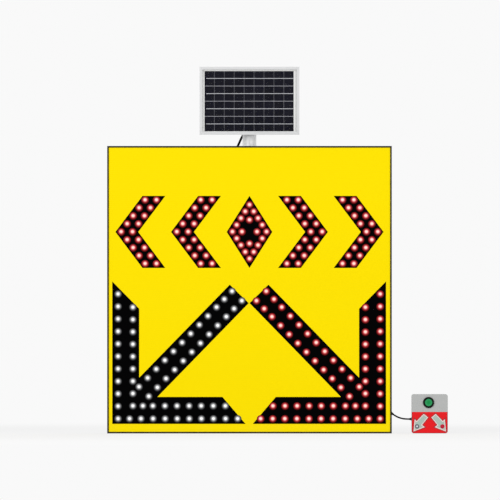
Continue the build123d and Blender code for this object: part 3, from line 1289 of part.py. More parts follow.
STANDING = (Align.CENTER, Align.CENTER, Align.MIN)
HANGING = (Align.CENTER, Align.CENTER, Align.MAX)
GLAND_PLANE = backward(REAR_Y, [(GLAND_X, GLAND_Z)])[0]
with BuildPart() as panel_cable_gland:
    with BuildSketch(GLAND_PLANE):
        RegularPolygon(GLAND_HEX / 2, 6, major_radius=False)
    extrude(amount=GLAND_HEX_LENGTH)
    with Locations(GLAND_PLANE):
        Cylinder(GLAND_DOME_DIAMETER / 2, GLAND_LENGTH, align=STANDING)
    chamfer(panel_cable_gland.faces().sort_by(Axis.Y)[-1].edges(), HEAD_CHAMFER)
    with Locations(GLAND_PLANE):
        Cylinder(GLAND_THREAD_DIAMETER / 2, GLAND_THREAD_LENGTH, align=HANGING)
    with BuildSketch(front_plane(PANEL_INNER_Y)):
        with Locations((GLAND_X, GLAND_Z)):
            RegularPolygon(GLAND_NUT_WIDTH / 2, 6, major_radius=False)
            Circle(GLAND_THREAD_DIAMETER / 2 + HOLE_GAP, mode=Mode.SUBTRACT)
    extrude(amount=GLAND_NUT_HEIGHT)
save(panel_cable_gland, "panel_cable_gland")


def boot(wall_plane, wall, nose_direction, nose_end):
    """Rubber boot in a wall: a flange on each side of it, a neck through it and a nose to the cable."""
    nose = Vector(nose_end) - wall_plane.origin
    with BuildPart() as rubber:
        with Locations(wall_plane):
            Cylinder(BOOT_FLANGE_DIAMETER / 2, BOOT_FLANGE_THICK, align=STANDING)
            Cylinder(BOOT_NECK_DIAMETER / 2, wall, align=HANGING)
        with Locations(wall_plane.offset(-wall)):
            Cylinder(BOOT_FLANGE_DIAMETER / 2, BOOT_FLANGE_THICK, align=HANGING)
        with Locations(Plane(origin=wall_plane.origin, z_dir=nose_direction)):
            Cone(BOOT_NECK_DIAMETER / 2, BOOT_NOSE_DIAMETER / 2, nose.length, align=STANDING)
    return rubber


cable_start, cable_second = CONTROL_CABLE_ROUTE[:2]
case_boot = boot(CONTROL_EXIT, FRAME_WALL, Vector(cable_second) - Vector(cable_start), cable_start)
CONTROL_ENTRY = sideways(BOX_LEFT, 0, CONTROL_CABLE_ROUTE[-1][2], -1)
box_boot = boot(CONTROL_ENTRY, BOX_WALL, (-1, 0, 0), CONTROL_CABLE_ROUTE[-1])
with BuildPart() as cable_boots:
    add(case_boot.part)
    add(box_boot.part)
save(cable_boots, "cable_boots")

# Control box: shell and cover that meet in a V groove, held together by long screws from the rear
BOX_MIDDLE_Z = BOX_HEIGHT / 2
COVER_SCREW_X = BOX_WIDTH / 2 - COVER_SCREW_INSET
COVER_SCREW_Z = BOX_HEIGHT / 2 - COVER_SCREW_INSET
COVER_SCREWS = [
    (BOX_X + sx * COVER_SCREW_X, BOX_MIDDLE_Z + sz * COVER_SCREW_Z) for sx in (-1, 1) for sz in (-1, 1)
]
with BuildPart() as control_box_shell:
    with BuildSketch(front_plane(BOX_REAR_Y)):
        with Locations((BOX_X, BOX_MIDDLE_Z)):
            RectangleRounded(BOX_WIDTH, BOX_HEIGHT, BOX_CORNER)
    extrude(amount=BOX_DEPTH - COVER_DEPTH)
    fillet(control_box_shell.faces().sort_by(Axis.Y)[-1].edges(), COVER_EDGE)
    chamfer(control_box_shell.faces().sort_by(Axis.Y)[0].edges(), COVER_SEAM)
    with BuildSketch(front_plane(BOX_REAR_Y - BOX_WALL)):
        with Locations((BOX_X, BOX_MIDDLE_Z)):
            RectangleRounded(BOX_WIDTH - 2 * BOX_WALL, BOX_HEIGHT - 2 * BOX_WALL, BOX_CORNER - BOX_WALL)
        with Locations(*COVER_SCREWS):
            Circle(SHELL_COLUMN_DIAMETER / 2, mode=Mode.SUBTRACT)
    extrude(amount=BOX_DEPTH, mode=Mode.SUBTRACT)
    with Locations(*backward(BOX_REAR_Y, COVER_SCREWS)):
        Hole(M4 / 2 + HOLE_GAP, depth=BOX_DEPTH)
    with Locations(CONTROL_ENTRY):
        Hole(BOOT_NECK_DIAMETER / 2 + HOLE_GAP, depth=2 * BOX_WALL)
save(control_box_shell, "control_box_shell")

INDICATORS = [(BOX_X - INDICATOR_SPACING / 2, INDICATOR_Z), (BOX_X + INDICATOR_SPACING / 2, INDICATOR_Z)]
SELECTOR_TOP = SELECTOR_BOTTOM + SELECTOR_HEIGHT
SELECTOR_PINS = [
    (BOX_X + side * (SELECTOR_WIDTH / 2 - SELECTOR_BOSS_INSET), SELECTOR_TOP - SELECTOR_BOSS_INSET)
    for side in (-1, 1)
]
SELECTOR_PINS += [
    (BOX_X + side * SELECTOR_WIDTH / 6, SELECTOR_BOTTOM + SELECTOR_BOSS_INSET) for side in (-1, 1)
]
with BuildPart() as control_box_cover:
    with BuildSketch(front_plane(COVER_REAR_Y)):
        with Locations((BOX_X, BOX_MIDDLE_Z)):
            RectangleRounded(BOX_WIDTH, BOX_HEIGHT, BOX_CORNER)
    extrude(amount=COVER_DEPTH)
    fillet(control_box_cover.faces().sort_by(Axis.Y)[0].edges(), COVER_EDGE)
    chamfer(control_box_cover.faces().sort_by(Axis.Y)[-1].edges(), COVER_SEAM)
    with BuildSketch(front_plane(COVER_REAR_Y)):
        with Locations((BOX_X, BOX_MIDDLE_Z)):
            RectangleRounded(BOX_WIDTH - 2 * BOX_WALL, BOX_HEIGHT - 2 * BOX_WALL, BOX_CORNER - BOX_WALL)
        with Locations(*COVER_SCREWS):
            Circle(COVER_BOSS_DIAMETER / 2, mode=Mode.SUBTRACT)
    extrude(amount=COVER_DEPTH - BOX_WALL, mode=Mode.SUBTRACT)
    with BuildSketch(front_plane(SELECTOR_FRONT_Y)):
        with Locations(*SELECTOR_PINS):
            Circle(SELECTOR_BOSS_DIAMETER / 2)
    extrude(amount=SELECTOR_GAP)
    with BuildSketch(front_plane(SELECTOR_FRONT_Y + SELECTOR_PIN_LENGTH)):
        with Locations(*SELECTOR_PINS):
            Circle(SELECTOR_PIN_DIAMETER / 2)
    extrude(amount=SELECTOR_PIN_LENGTH)
    with Locations(*backward(COVER_REAR_Y, COVER_SCREWS)):
        Hole(M4 / 2 + HOLE_GAP, depth=COVER_SCREW_BITE + HEAD_CHAMFER)
    with Locations(*backward(COVER_REAR_Y, INDICATORS)):
        Hole(HOLDER_BARREL_DIAMETER / 2 + HOLE_GAP, depth=2 * COVER_DEPTH)
    with Locations(*backward(COVER_REAR_Y, [(BUTTON_X, BUTTON_Z)])):
        Hole(BARREL_RADIUS + HOLE_GAP, depth=2 * COVER_DEPTH)
save(control_box_cover, "control_box_cover")

cover_screw = round_screw(M4, M4_HEAD, M4_HEAD_HEIGHT, BOX_DEPTH - COVER_DEPTH + COVER_SCREW_BITE)
save(copies(cover_screw, backward(BOX_REAR_Y, COVER_SCREWS)), "cover_screws")

LABEL_HEIGHT = LABEL_TOP - LABEL_INSET
LABEL_WIDTH = BOX_WIDTH - 2 * LABEL_INSET
with BuildPart() as control_label:
    with BuildSketch(front_plane(BOX_FRONT_Y)):
        with Locations((BOX_X, LABEL_INSET + LABEL_HEIGHT / 2)):
            RectangleRounded(LABEL_WIDTH, LABEL_HEIGHT, BOX_CORNER - LABEL_INSET)
        with Locations((BOX_X, LABEL_INSET + LABEL_HEIGHT * 3 / 4)):
            Rectangle(LABEL_WIDTH, LABEL_HEIGHT / 2)
        with Locations(*INDICATORS):
            Circle(HOLDER_BARREL_DIAMETER / 2 + HOLE_GAP, mode=Mode.SUBTRACT)
    extrude(amount=LABEL_THICK)
save(control_label, "control_label")

# Button: a cap that slides in the bezel, a return spring round its stem and the switch behind
BUTTON_PLACE = [(BUTTON_X, BUTTON_Z)]
FLOOR_FRONT_Y = BARREL_REAR_Y - BARREL_FLOOR
CAP_FRONT_Y = BEZEL_FRONT_Y - BUTTON_PROUD
CAP_REAR_Y = CAP_FRONT_Y + CAP_BODY
with BuildPart() as button_bezel:
    with BuildSketch(front_plane(BOX_FRONT_Y)):
        with Locations(*BUTTON_PLACE):
            Circle(BEZEL_DIAMETER / 2)
    extrude(amount=BEZEL_HEIGHT)
    chamfer(button_bezel.edges().sort_by(Axis.Y)[0], BEZEL_CHAMFER)
    with BuildSketch(front_plane(BARREL_REAR_Y)):
        with Locations(*BUTTON_PLACE):
            Circle(BARREL_RADIUS)
    extrude(amount=BARREL_DEPTH)
    with BuildSketch(front_plane(FLOOR_FRONT_Y)):
        with Locations(*BUTTON_PLACE):
            Circle(BUTTON_DIAMETER / 2 + BUTTON_FIT)
    extrude(amount=BEZEL_HEIGHT + BARREL_DEPTH, mode=Mode.SUBTRACT)
    with BuildSketch(front_plane(BARREL_REAR_Y)):
        with Locations(*BUTTON_PLACE):
            Circle(STEM_DIAMETER / 2 + BUTTON_FIT)
    extrude(amount=BARREL_FLOOR, mode=Mode.SUBTRACT)
save(button_bezel, "button_bezel")

with BuildPart() as button_cap:
    with BuildSketch(front_plane(CAP_REAR_Y)):
        with Locations(*BUTTON_PLACE):
            Circle(BUTTON_DIAMETER / 2)
    extrude(amount=CAP_BODY)
    fillet(button_cap.edges().sort_by(Axis.Y)[0], CAP_EDGE)
    with BuildSketch(front_plane(BARREL_REAR_Y)):
        with Locations(*BUTTON_PLACE):
            Circle(STEM_DIAMETER / 2)
    extrude(amount=BARREL_REAR_Y - CAP_REAR_Y)
    with BuildSketch(front_plane(BARREL_REAR_Y + STEM_COLLAR_LENGTH)):
        with Locations(*BUTTON_PLACE):
            Circle(STEM_COLLAR_DIAMETER / 2)
    extrude(amount=STEM_COLLAR_LENGTH)
save(button_cap, "button_cap")

SPRING_ROOM = FLOOR_FRONT_Y - CAP_REAR_Y
SPRING_HEIGHT = SPRING_ROOM - SPRING_WIRE - 2 * SPRING_END_GAP
SPRING_PITCH = SPRING_HEIGHT / SPRING_TURNS
SPRING_RADIUS = SPRING_DIAMETER / 2
with BuildPart() as spring_coil:
    with BuildLine():
        Helix(pitch=SPRING_PITCH, height=SPRING_HEIGHT, radius=SPRING_RADIUS)
    coil_start = (0, 2 * math.pi * SPRING_RADIUS, SPRING_PITCH)
    with BuildSketch(Plane(origin=(SPRING_RADIUS, 0, 0), z_dir=coil_start)):
        Circle(SPRING_WIRE / 2)
    sweep(is_frenet=True)
spring_plane = backward(CAP_REAR_Y + SPRING_END_GAP + SPRING_WIRE / 2, BUTTON_PLACE)
save(copies(spring_coil, spring_plane), "button_spring")

with BuildPart() as switch_block:
    with BuildSketch(front_plane(BARREL_REAR_Y + SWITCH_DEPTH)):
        with Locations(*BUTTON_PLACE):
            Rectangle(SWITCH_SIZE, SWITCH_SIZE)
    extrude(amount=SWITCH_DEPTH)
    with BuildSketch(front_plane(BARREL_REAR_Y)):
        with Locations(*BUTTON_PLACE):
            Circle(BARREL_RADIUS + HOLE_GAP + SWITCH_COLLAR_WALL)
            Circle(BARREL_RADIUS + HOLE_GAP, mode=Mode.SUBTRACT)
    extrude(amount=BARREL_REAR_Y - COVER_INNER_Y)
    with BuildSketch(front_plane(BARREL_REAR_Y + SWITCH_BORE_DEPTH)):
        with Locations(*BUTTON_PLACE):
            Circle(SWITCH_BORE_DIAMETER / 2)
    extrude(amount=SWITCH_BORE_DEPTH, mode=Mode.SUBTRACT)
save(switch_block, "switch_block")

# Indicators: lenses in holders through the label, in front of a board on the cover's pins
LABEL_FRONT_Y = BOX_FRONT_Y - LABEL_THICK
HOLDER_FRONT_Y = LABEL_FRONT_Y - HOLDER_FLANGE


def indicator(place, diameter):
    """Round light pipe with a shallow dome, standing on the selector board."""
    with BuildPart() as pipe:
        with BuildSketch(front_plane(SELECTOR_FRONT_Y)):
            with Locations(place):
                Circle(diameter / 2)
        extrude(amount=SELECTOR_FRONT_Y - HOLDER_FRONT_Y + INDICATOR_DOME)
        fillet(pipe.edges().sort_by(Axis.Y)[0], INDICATOR_DOME - HOLE_GAP)
    return pipe


white_indicator = indicator(INDICATORS[0], WHITE_INDICATOR_DIAMETER)
save(white_indicator, "white_indicator")
red_indicator = indicator(INDICATORS[1], RED_INDICATOR_DIAMETER)
save(red_indicator, "red_indicator")

with BuildPart() as indicator_holders:
    with BuildSketch(front_plane(LABEL_FRONT_Y)):
        with Locations(*INDICATORS):
            Circle(HOLDER_DIAMETER / 2)
    extrude(amount=HOLDER_FLANGE)
    with BuildSketch(front_plane(COVER_REAR_Y)):
        with Locations(*INDICATORS):
            Circle(HOLDER_BARREL_DIAMETER / 2)
    extrude(amount=COVER_REAR_Y - LABEL_FRONT_Y)
    with BuildSketch(front_plane(COVER_REAR_Y)):
        for place, width in zip(INDICATORS, (WHITE_INDICATOR_DIAMETER, RED_INDICATOR_DIAMETER)):
            with Locations(place):
                Circle(width / 2 + HOLE_GAP)
    extrude(amount=COVER_REAR_Y - HOLDER_FRONT_Y, mode=Mode.SUBTRACT)
save(indicator_holders, "indicator_holders")

with BuildPart() as selector_board:
    with BuildSketch(front_plane(SELECTOR_FRONT_Y + BOARD_THICK)):
        with Locations((BOX_X, (SELECTOR_BOTTOM + SELECTOR_TOP) / 2)):
            Rectangle(SELECTOR_WIDTH, SELECTOR_HEIGHT)
        with Locations(*SELECTOR_PINS):
            Circle(SELECTOR_PIN_DIAMETER / 2 + HOLE_GAP, mode=Mode.SUBTRACT)
    extrude(amount=BOARD_THICK)
save(selector_board, "selector_board")

# Leads inside the case
LEAD_Y = 22
LEAD_STEP = 12
LEAD_RISE = 23
CONTROLLER_TOP = CONTROLLER_Z + CONTROLLER_HEIGHT / 2
CONTROLLER_BOTTOM = CONTROLLER_Z - CONTROLLER_HEIGHT / 2
DRIVER_TOP = DRIVER_Z + DRIVER_HEIGHT / 2
DRIVER_BOTTOM = DRIVER_Z - DRIVER_HEIGHT / 2
TERMINAL_TOP = BATTERY_TOP + TERMINAL_SIZE
BATTERY_LEAD_X = CONTROLLER_X - 2 * LEAD_STEP
UPPER_LEAD_Z = TERMINAL_TOP + 3 * LEAD_RISE
BOOT_INNER_X = CASE_WIDTH / 2 - FRAME_WALL - BOOT_FLANGE_THICK
GLAND_INNER_Y = REAR_Y - GLAND_THREAD_LENGTH
PANEL_LEAD_Y = LEAD_Y - 10
LOW_LEAD_Z = TRAY_Z - 2 * LEAD_RISE
LINK_RISE = 28
LINK_Y = BOARD_REAR_Y + 15
ARROW_JOIN_X = DRIVER_X - 2 * LEAD_STEP
ARROW_JOIN_Z = ARROW_BOTTOM + (ARROW_JOIN_X - SHAFT_START_X) * SHAFT_SIN / SHAFT_COS
link_ends = [in_chevron(tip, CHEVRON_STROKE / 2, LINK_RISE) for tip in CHEVRON_TIPS]
link_z = MARKER_Z + LINK_RISE
link_pairs = [(link_ends[0][0], link_ends[1][0] - LEAD_STEP), (link_ends[1][0] + LEAD_STEP, -2 * LEAD_STEP)]
LEADS = [
    [
        (TERMINAL_SPACING / 2, BATTERY_Y, TERMINAL_TOP),
        (TERMINAL_SPACING / 2, BATTERY_Y, TERMINAL_TOP + LEAD_RISE),
        (BATTERY_LEAD_X, LEAD_Y, TERMINAL_TOP + LEAD_RISE),
        (BATTERY_LEAD_X, LEAD_Y, CONTROLLER_TOP),
    ],
    [
        (-TERMINAL_SPACING / 2, BATTERY_Y, TERMINAL_TOP),
        (-TERMINAL_SPACING / 2, BATTERY_Y, TERMINAL_TOP + 1.5 * LEAD_RISE),
        (BATTERY_LEAD_X + LEAD_STEP, LEAD_Y, TERMINAL_TOP + 1.5 * LEAD_RISE),
        (BATTERY_LEAD_X + LEAD_STEP, LEAD_Y, CONTROLLER_TOP),
    ],
    [
        (GLAND_X, GLAND_INNER_Y, GLAND_Z),
        (GLAND_X, PANEL_LEAD_Y, GLAND_Z),
        (GLAND_X, PANEL_LEAD_Y, TERMINAL_TOP + 2 * LEAD_RISE),
        (CONTROLLER_X, LEAD_Y, TERMINAL_TOP + 2 * LEAD_RISE),
        (CONTROLLER_X, LEAD_Y, CONTROLLER_TOP),
    ],
    [
        (BATTERY_LEAD_X, LEAD_Y, CONTROLLER_BOTTOM),
        (BATTERY_LEAD_X, LEAD_Y, TRAY_Z - LEAD_RISE),
        (DRIVER_X + LEAD_STEP, LEAD_Y, TRAY_Z - LEAD_RISE),
        (DRIVER_X + LEAD_STEP, LEAD_Y, DRIVER_BOTTOM),
    ],
    [
        (BOOT_INNER_X, 0, CONTROL_EXIT_Z),
        (BOOT_INNER_X - 2 * LEAD_RISE, 0, CONTROL_EXIT_Z),
        (BOOT_INNER_X - 4 * LEAD_RISE, LEAD_Y, LOW_LEAD_Z),
        (DRIVER_X - LEAD_STEP, LEAD_Y, LOW_LEAD_Z),
        (DRIVER_X - LEAD_STEP, LEAD_Y, DRIVER_BOTTOM),
    ],
    [
        (ARROW_JOIN_X, LEAD_Y, DRIVER_TOP),
        (ARROW_JOIN_X, LEAD_Y, ARROW_JOIN_Z),
        (ARROW_JOIN_X, BOARD_REAR_Y, ARROW_JOIN_Z),
    ],
    [
        (DRIVER_X, LEAD_Y, DRIVER_TOP),
        (DRIVER_X, LEAD_Y, UPPER_LEAD_Z),
        (-ARROW_JOIN_X, LEAD_Y, UPPER_LEAD_Z),
        (-ARROW_JOIN_X, BOARD_REAR_Y, UPPER_LEAD_Z),
    ],
    [
        (DRIVER_X - LEAD_STEP, LEAD_Y, DRIVER_TOP),
        (DRIVER_X - LEAD_STEP, LEAD_Y, MARKER_Z - LEAD_STEP),
        (-LEAD_STEP, LEAD_Y, MARKER_Z - LEAD_STEP),
        (-LEAD_STEP, BOARD_REAR_Y, MARKER_Z - LEAD_STEP),
    ],
]
for start_x, end_x in link_pairs:
    for side in (1, -1):
        LEADS.append(
            [
                (side * start_x, BOARD_REAR_Y, link_z),
                (side * start_x, LINK_Y, link_z),
                (side * end_x, LINK_Y, link_z),
                (side * end_x, BOARD_REAR_Y, link_z),
            ]
        )
lead_tubes = [cable(route, LEAD_DIAMETER, f"lead {at}", LEAD_BEND) for at, route in enumerate(LEADS)]
with BuildPart() as inner_leads:
    for lead_tube in lead_tubes:
        add(lead_tube.part)
save(inner_leads, "inner_leads")
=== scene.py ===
"""Looks of the solar two-way arrow sign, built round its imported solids."""

import json
import math

import bmesh
import bpy
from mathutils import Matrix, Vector


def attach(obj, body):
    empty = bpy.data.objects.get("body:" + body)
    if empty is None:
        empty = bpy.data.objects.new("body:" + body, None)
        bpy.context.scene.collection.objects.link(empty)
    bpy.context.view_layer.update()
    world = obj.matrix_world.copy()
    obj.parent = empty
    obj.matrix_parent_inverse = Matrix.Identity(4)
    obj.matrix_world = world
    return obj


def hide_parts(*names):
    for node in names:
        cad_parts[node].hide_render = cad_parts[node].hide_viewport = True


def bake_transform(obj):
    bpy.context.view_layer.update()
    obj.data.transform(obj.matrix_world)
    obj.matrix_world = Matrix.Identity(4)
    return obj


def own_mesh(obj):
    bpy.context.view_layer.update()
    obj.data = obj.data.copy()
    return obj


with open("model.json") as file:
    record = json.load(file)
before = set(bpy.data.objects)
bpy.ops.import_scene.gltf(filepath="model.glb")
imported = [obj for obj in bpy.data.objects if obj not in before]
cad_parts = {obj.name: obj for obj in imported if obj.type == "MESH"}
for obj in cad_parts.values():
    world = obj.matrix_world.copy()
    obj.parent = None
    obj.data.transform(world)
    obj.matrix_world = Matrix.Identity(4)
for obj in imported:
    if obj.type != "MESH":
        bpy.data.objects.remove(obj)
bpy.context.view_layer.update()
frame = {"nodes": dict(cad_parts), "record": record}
nodes = frame["nodes"]

# Metres, in the solids' own frame: X runs right, Y to the back and Z up
MM = 0.001
FACE_Y = -38 * MM

# Camera: square to the face and far away, so that no side of the case shows
VIEW_WIDTH = 1.757
VIEW_X = 0.0018
VIEW_Z = 0.6445
CAMERA_DISTANCE = 48
CAMERA_CLIP = 300
SENSOR_WIDTH = 36

camera_data = bpy.data.cameras.new("camera")
camera_data.sensor_width = SENSOR_WIDTH
camera_data.lens = SENSOR_WIDTH * CAMERA_DISTANCE / VIEW_WIDTH
camera_data.clip_end = CAMERA_CLIP
camera = bpy.data.objects.new("camera", camera_data)
camera.location = (VIEW_X, FACE_Y - CAMERA_DISTANCE, VIEW_Z)
camera.rotation_euler = (math.pi / 2, 0, 0)
bpy.context.scene.collection.objects.link(camera)
bpy.context.scene.camera = camera
bpy.context.scene.view_settings.view_transform = "Standard"


def linked(name, data):
    """A new object in the scene that shows this mesh, curve or lamp."""
    made = bpy.data.objects.new(name, data)
    bpy.context.scene.collection.objects.link(made)
    return made


def shade(color, factor):
    """A colour made darker or lighter, with full opacity."""
    return tuple(min(1, part * factor) for part in color[:3]) + (1,)


# Streaks of wear run up and down
SCUFF_STRETCH = (1, 1, 0.35)


class Paint:
    """One material: a Principled shader and the nodes that feed it."""

    def __init__(self, name, color, roughness, **sockets):
        self.material = bpy.data.materials.new(name)
        self.material.use_nodes = True
        self.tree = self.material.node_tree
        self.shader = self.tree.nodes["Principled BSDF"]
        self.color = color
        self.give("Base Color", shade(color, 1))
        self.give("Roughness", roughness)
        for socket, value in sockets.items():
            self.give(socket.replace("_", " "), value)
        self.place = self.add("ShaderNodeTexCoord").outputs["Object"]

    def feed(self, socket, value):
        """Link a node's output to a socket, or set the socket's own value."""
        if isinstance(value, bpy.types.NodeSocket):
            self.tree.links.new(value, socket)
        else:
            socket.default_value = value

    def give(self, socket, value):
        """Feed one of the shader's own sockets."""
        self.feed(self.shader.inputs[socket], value)

    def add(self, kind, inputs=None, **options):
        """A node with these options, fed by the name or number of its inputs."""
        node = self.tree.nodes.new(kind)
        for option, value in options.items():
            setattr(node, option, value)
        for socket, value in (inputs or {}).items():
            self.feed(node.inputs[socket], value)
        return node

    def math(self, operation, *values):
        """Result of a sum on numbers."""
        return self.add("ShaderNodeMath", dict(enumerate(values)), operation=operation).outputs[0]

    def vector(self, operation, *values):
        """Result of a sum on vectors."""
        return self.add("ShaderNodeVectorMath", dict(enumerate(values)), operation=operation).outputs[0]

    def length(self, value):
        """Length of a vector."""
        return self.add("ShaderNodeVectorMath", {0: value}, operation="LENGTH").outputs["Value"]

    def axes(self):
        """X, Y and Z of the point, as three outputs."""
        return self.add("ShaderNodeSeparateXYZ", {0: self.place}).outputs

    def stretched(self, scales):
        """The point's place, with each axis scaled."""
        return self.vector("MULTIPLY", self.place, scales)

    def noise(self, scale, detail=3, vector=None):
        """Cloudy values from 0 to 1."""
        inputs = {"Vector": vector or self.place, "Scale": scale, "Detail": detail}
        return self.add("ShaderNodeTexNoise", inputs).outputs[0]

    def cells(self, scale):
        """A random colour for each cell of a Voronoi pattern."""
        inputs = {"Vector": self.place, "Scale": scale}
        return self.add("ShaderNodeTexVoronoi", inputs).outputs["Color"]

    def ranged(self, value, start, end, low=0.0, high=1.0):
        """A value that eases from low to high as the input goes from start to end."""
        inputs = {0: value, 1: start, 2: end, 3: low, 4: high}
        return self.add("ShaderNodeMapRange", inputs, interpolation_type="SMOOTHSTEP").outputs[0]

    def weighted(self, first, second, share):
        """Mean of two values, with this share of the first."""
        part = self.math("MULTIPLY", first, share)
        return self.math("ADD", part, self.math("MULTIPLY", second, 1 - share))

    def mix(self, factor, first, second):
        """Colour between two colours."""
        return self.add("ShaderNodeMix", {0: factor, 6: first, 7: second}, data_type="RGBA").outputs[2]

    def ramp(self, value, stops):
        """Colour by value, through (position, colour) stops."""
        node = self.add("ShaderNodeValToRGB", {0: value})
        elements = node.color_ramp.elements
        while len(elements) < len(stops):
            elements.new(0.5)
        for element, (position, color) in zip(elements, stops):
            element.position = position
            element.color = shade(color, 1)
        return node.outputs[0]

    def bump(self, height, distance):
        """Relief on the surface, in metres."""
        node = self.add("ShaderNodeBump", {"Height": height, "Distance": distance, "Strength": 1.0})
        self.give("Normal", node.outputs[0])

    def scuffs(self, scale, start, end):
        """Sparse streaks of wear, 1 where worn."""
        streaks = self.noise(scale, 6, self.stretched(SCUFF_STRETCH))
        return self.ranged(streaks, start, end)


def moulded(name, color, roughness, grain, depth, spread=0.08, blotch=9, **sockets):
    """Painted, moulded or rubber surface: faint blotches of colour and a fine grain."""
    paint = Paint(name, color, roughness, **sockets)
    blotches = paint.noise(blotch, 6)
    paint.give("Base Color", paint.mix(blotches, shade(color, 1 - spread), shade(color, 1 + spread)))
    fine = paint.noise(grain, 2)
    paint.give("Roughness", paint.ranged(fine, 0.2, 0.8, roughness * 0.85, min(1, roughness * 1.15)))
    paint.bump(fine, depth)
    return paint


def brushed(name, color, roughness, scales, depth, spread=0.1, metallic=1.0):
    """Metal with fine parallel lines along its least scaled axis."""
    paint = Paint(name, color, roughness, Metallic=metallic)
    lines = paint.noise(1, 4, paint.stretched(scales))
    clouds = paint.noise(7, 5)
    tone = paint.weighted(lines, clouds, 0.55)
    paint.give("Base Color", paint.mix(tone, shade(color, 1 - spread), shade(color, 1 + spread)))
    paint.give("Roughness", paint.ranged(tone, 0.3, 0.7, roughness * 0.8, roughness * 1.25))
    paint.bump(lines, depth)
    return paint


def galvanised(name, color, roughness, scale, **sockets):
    """Zinc-coated steel: crystal patches of slightly different grey."""
    paint = Paint(name, color, roughness, **sockets)
    patches = paint.cells(scale)
    patch = paint.add("ShaderNodeSeparateXYZ", {0: patches}).outputs[0]
    clouds = paint.noise(scale * 0.6, 5)
    tone = paint.weighted(patch, clouds, 0.6)
    paint.give("Base Color", paint.mix(tone, shade(color, 0.86), shade(color, 1.1)))
    paint.give("Roughness", paint.ranged(tone, 0.2, 0.8, roughness * 0.8, roughness * 1.2))
    paint.bump(clouds, 0.04 * MM)
    return paint


# Finishes of the record's slots
finishes = {}

# Dark frame: satin paint with scuffs along its lower edge
SCUFF_TOP = 30 * MM
paint = moulded("frame_paint", (0.011, 0.0105, 0.009), 0.5, 1400, 0.03 * MM, Specular_IOR_Level=0.12)
low_edge = paint.ranged(paint.axes()[2], SCUFF_TOP, 0.0)
worn = paint.math("MULTIPLY", paint.scuffs(260, 0.58, 0.7), low_edge)
base = paint.mix(paint.noise(9, 6), shade(paint.color, 0.9), shade(paint.color, 1.12))
paint.give("Base Color", paint.mix(worn, base, (0.055, 0.053, 0.05, 1)))
finishes["dark_frame"] = paint

# Yellow sheeting: hexagonal cells with a faint paler seal round each, and a little road dust low down
CELL_SIZE = 4.2 * MM
SEAL_START = 0.43
SEAL_END = 0.49
DUST_TOP = 120 * MM
paint = Paint("yellow_sheeting", (1.0, 0.765, 0.0), 0.42, Specular_IOR_Level=0.015)
x, _, z = paint.axes()
flat = paint.add("ShaderNodeCombineXYZ", {0: x, 1: z}).outputs[0]
flat = paint.vector("MULTIPLY", flat, (1 / CELL_SIZE,) * 3)
half_tile = (0.5, math.sqrt(3) / 2, 1)
minus_half = tuple(-part for part in half_tile)
near = paint.vector("WRAP", flat, half_tile, minus_half)
other = paint.vector("WRAP", paint.vector("ADD", flat, half_tile), half_tile, minus_half)
nearer = paint.math("LESS_THAN", paint.length(near), paint.length(other))
shift = paint.vector("MULTIPLY", paint.vector("SUBTRACT", near, other), nearer)
folded = paint.vector("ABSOLUTE", paint.vector("ADD", other, shift))
along = paint.add("ShaderNodeSeparateXYZ", {0: folded}).outputs
slant_x = paint.math("MULTIPLY", along[0], half_tile[0])
slant_z = paint.math("MULTIPLY", along[1], half_tile[1])
slant = paint.math("ADD", slant_x, slant_z)
seal = paint.ranged(paint.math("MAXIMUM", along[0], slant), SEAL_START, SEAL_END)
clouds = paint.noise(3, 5)
sheet = paint.mix(clouds, (0.985, 0.75, 0.0, 1), (1.0, 0.775, 0.0, 1))
sheet = paint.mix(paint.math("MULTIPLY", seal, 0.22), sheet, (1.0, 0.82, 0.01, 1))
specks = paint.ranged(paint.noise(14, 6), 0.42, 0.75)
dust = paint.math("MULTIPLY", paint.ranged(z, DUST_TOP, 0.0), specks)
paint.give("Base Color", paint.mix(paint.math("MULTIPLY", dust, 0.05), sheet, (0.72, 0.56, 0.1, 1)))
paint.give("Roughness", paint.ranged(seal, 0.0, 1.0, 0.36, 0.5))
paint.bump(seal, 0.03 * MM)
finishes["yellow_sheet"] = paint

finishes["black_film"] = moulded(
    "black_vinyl", (0.0007, 0.0006, 0.0008), 0.4, 700, 0.012 * MM, 0.3, 5, Specular_IOR_Level=0.01
)

finishes["circuit_board"] = moulded("solder_mask", (0.012, 0.085, 0.035), 0.35, 500, 0.02 * MM, 0.25, 160)
finishes["light_emitter"] = moulded("emitter_resin", (0.9, 0.82, 0.5), 0.4, 900, 0.01 * MM)
finishes["zinc_steel"] = brushed("bright_zinc", (0.62, 0.63, 0.65), 0.3, (900, 900, 900), 0.01 * MM, 0.14)
finishes["galvanised_steel"] = galvanised("galvanised", (0.6, 0.62, 0.63), 0.42, 75, Metallic=0.75)
finishes["bare_aluminium"] = brushed(
    "mill_aluminium", (0.74, 0.75, 0.76), 0.36, (12, 700, 700), 0.008 * MM
)
finishes["black_rubber"] = moulded(
    "black_rubber", (0.006, 0.006, 0.006), 0.62, 1100, 0.03 * MM, 0.25, 25, Specular_IOR_Level=0.15
)
finishes["black_plastic"] = moulded("black_plastic", (0.03, 0.03, 0.033), 0.36, 900, 0.02 * MM, 0.15, 20)
finishes["battery_case"] = moulded("battery_case", (0.06, 0.06, 0.066), 0.5, 600, 0.05 * MM)
finishes["controller_case"] = moulded("controller_case", (0.04, 0.1, 0.27), 0.45, 700, 0.04 * MM)
finishes["lead_insulation"] = moulded("lead_insulation", (0.42, 0.03, 0.025), 0.4, 500, 0.01 * MM)
finishes["tinned_ribbon"] = brushed(
    "tinned_ribbon", (0.5, 0.505, 0.535), 0.45, (60, 1500, 2500), 0.01 * MM, metallic=0.6
)
finishes["bezel_plastic"] = moulded(
    "bezel_plastic", (0.003, 0.0035, 0.003), 0.3, 1600, 0.006 * MM, 0.2, 40, Specular_IOR_Level=0.1
)

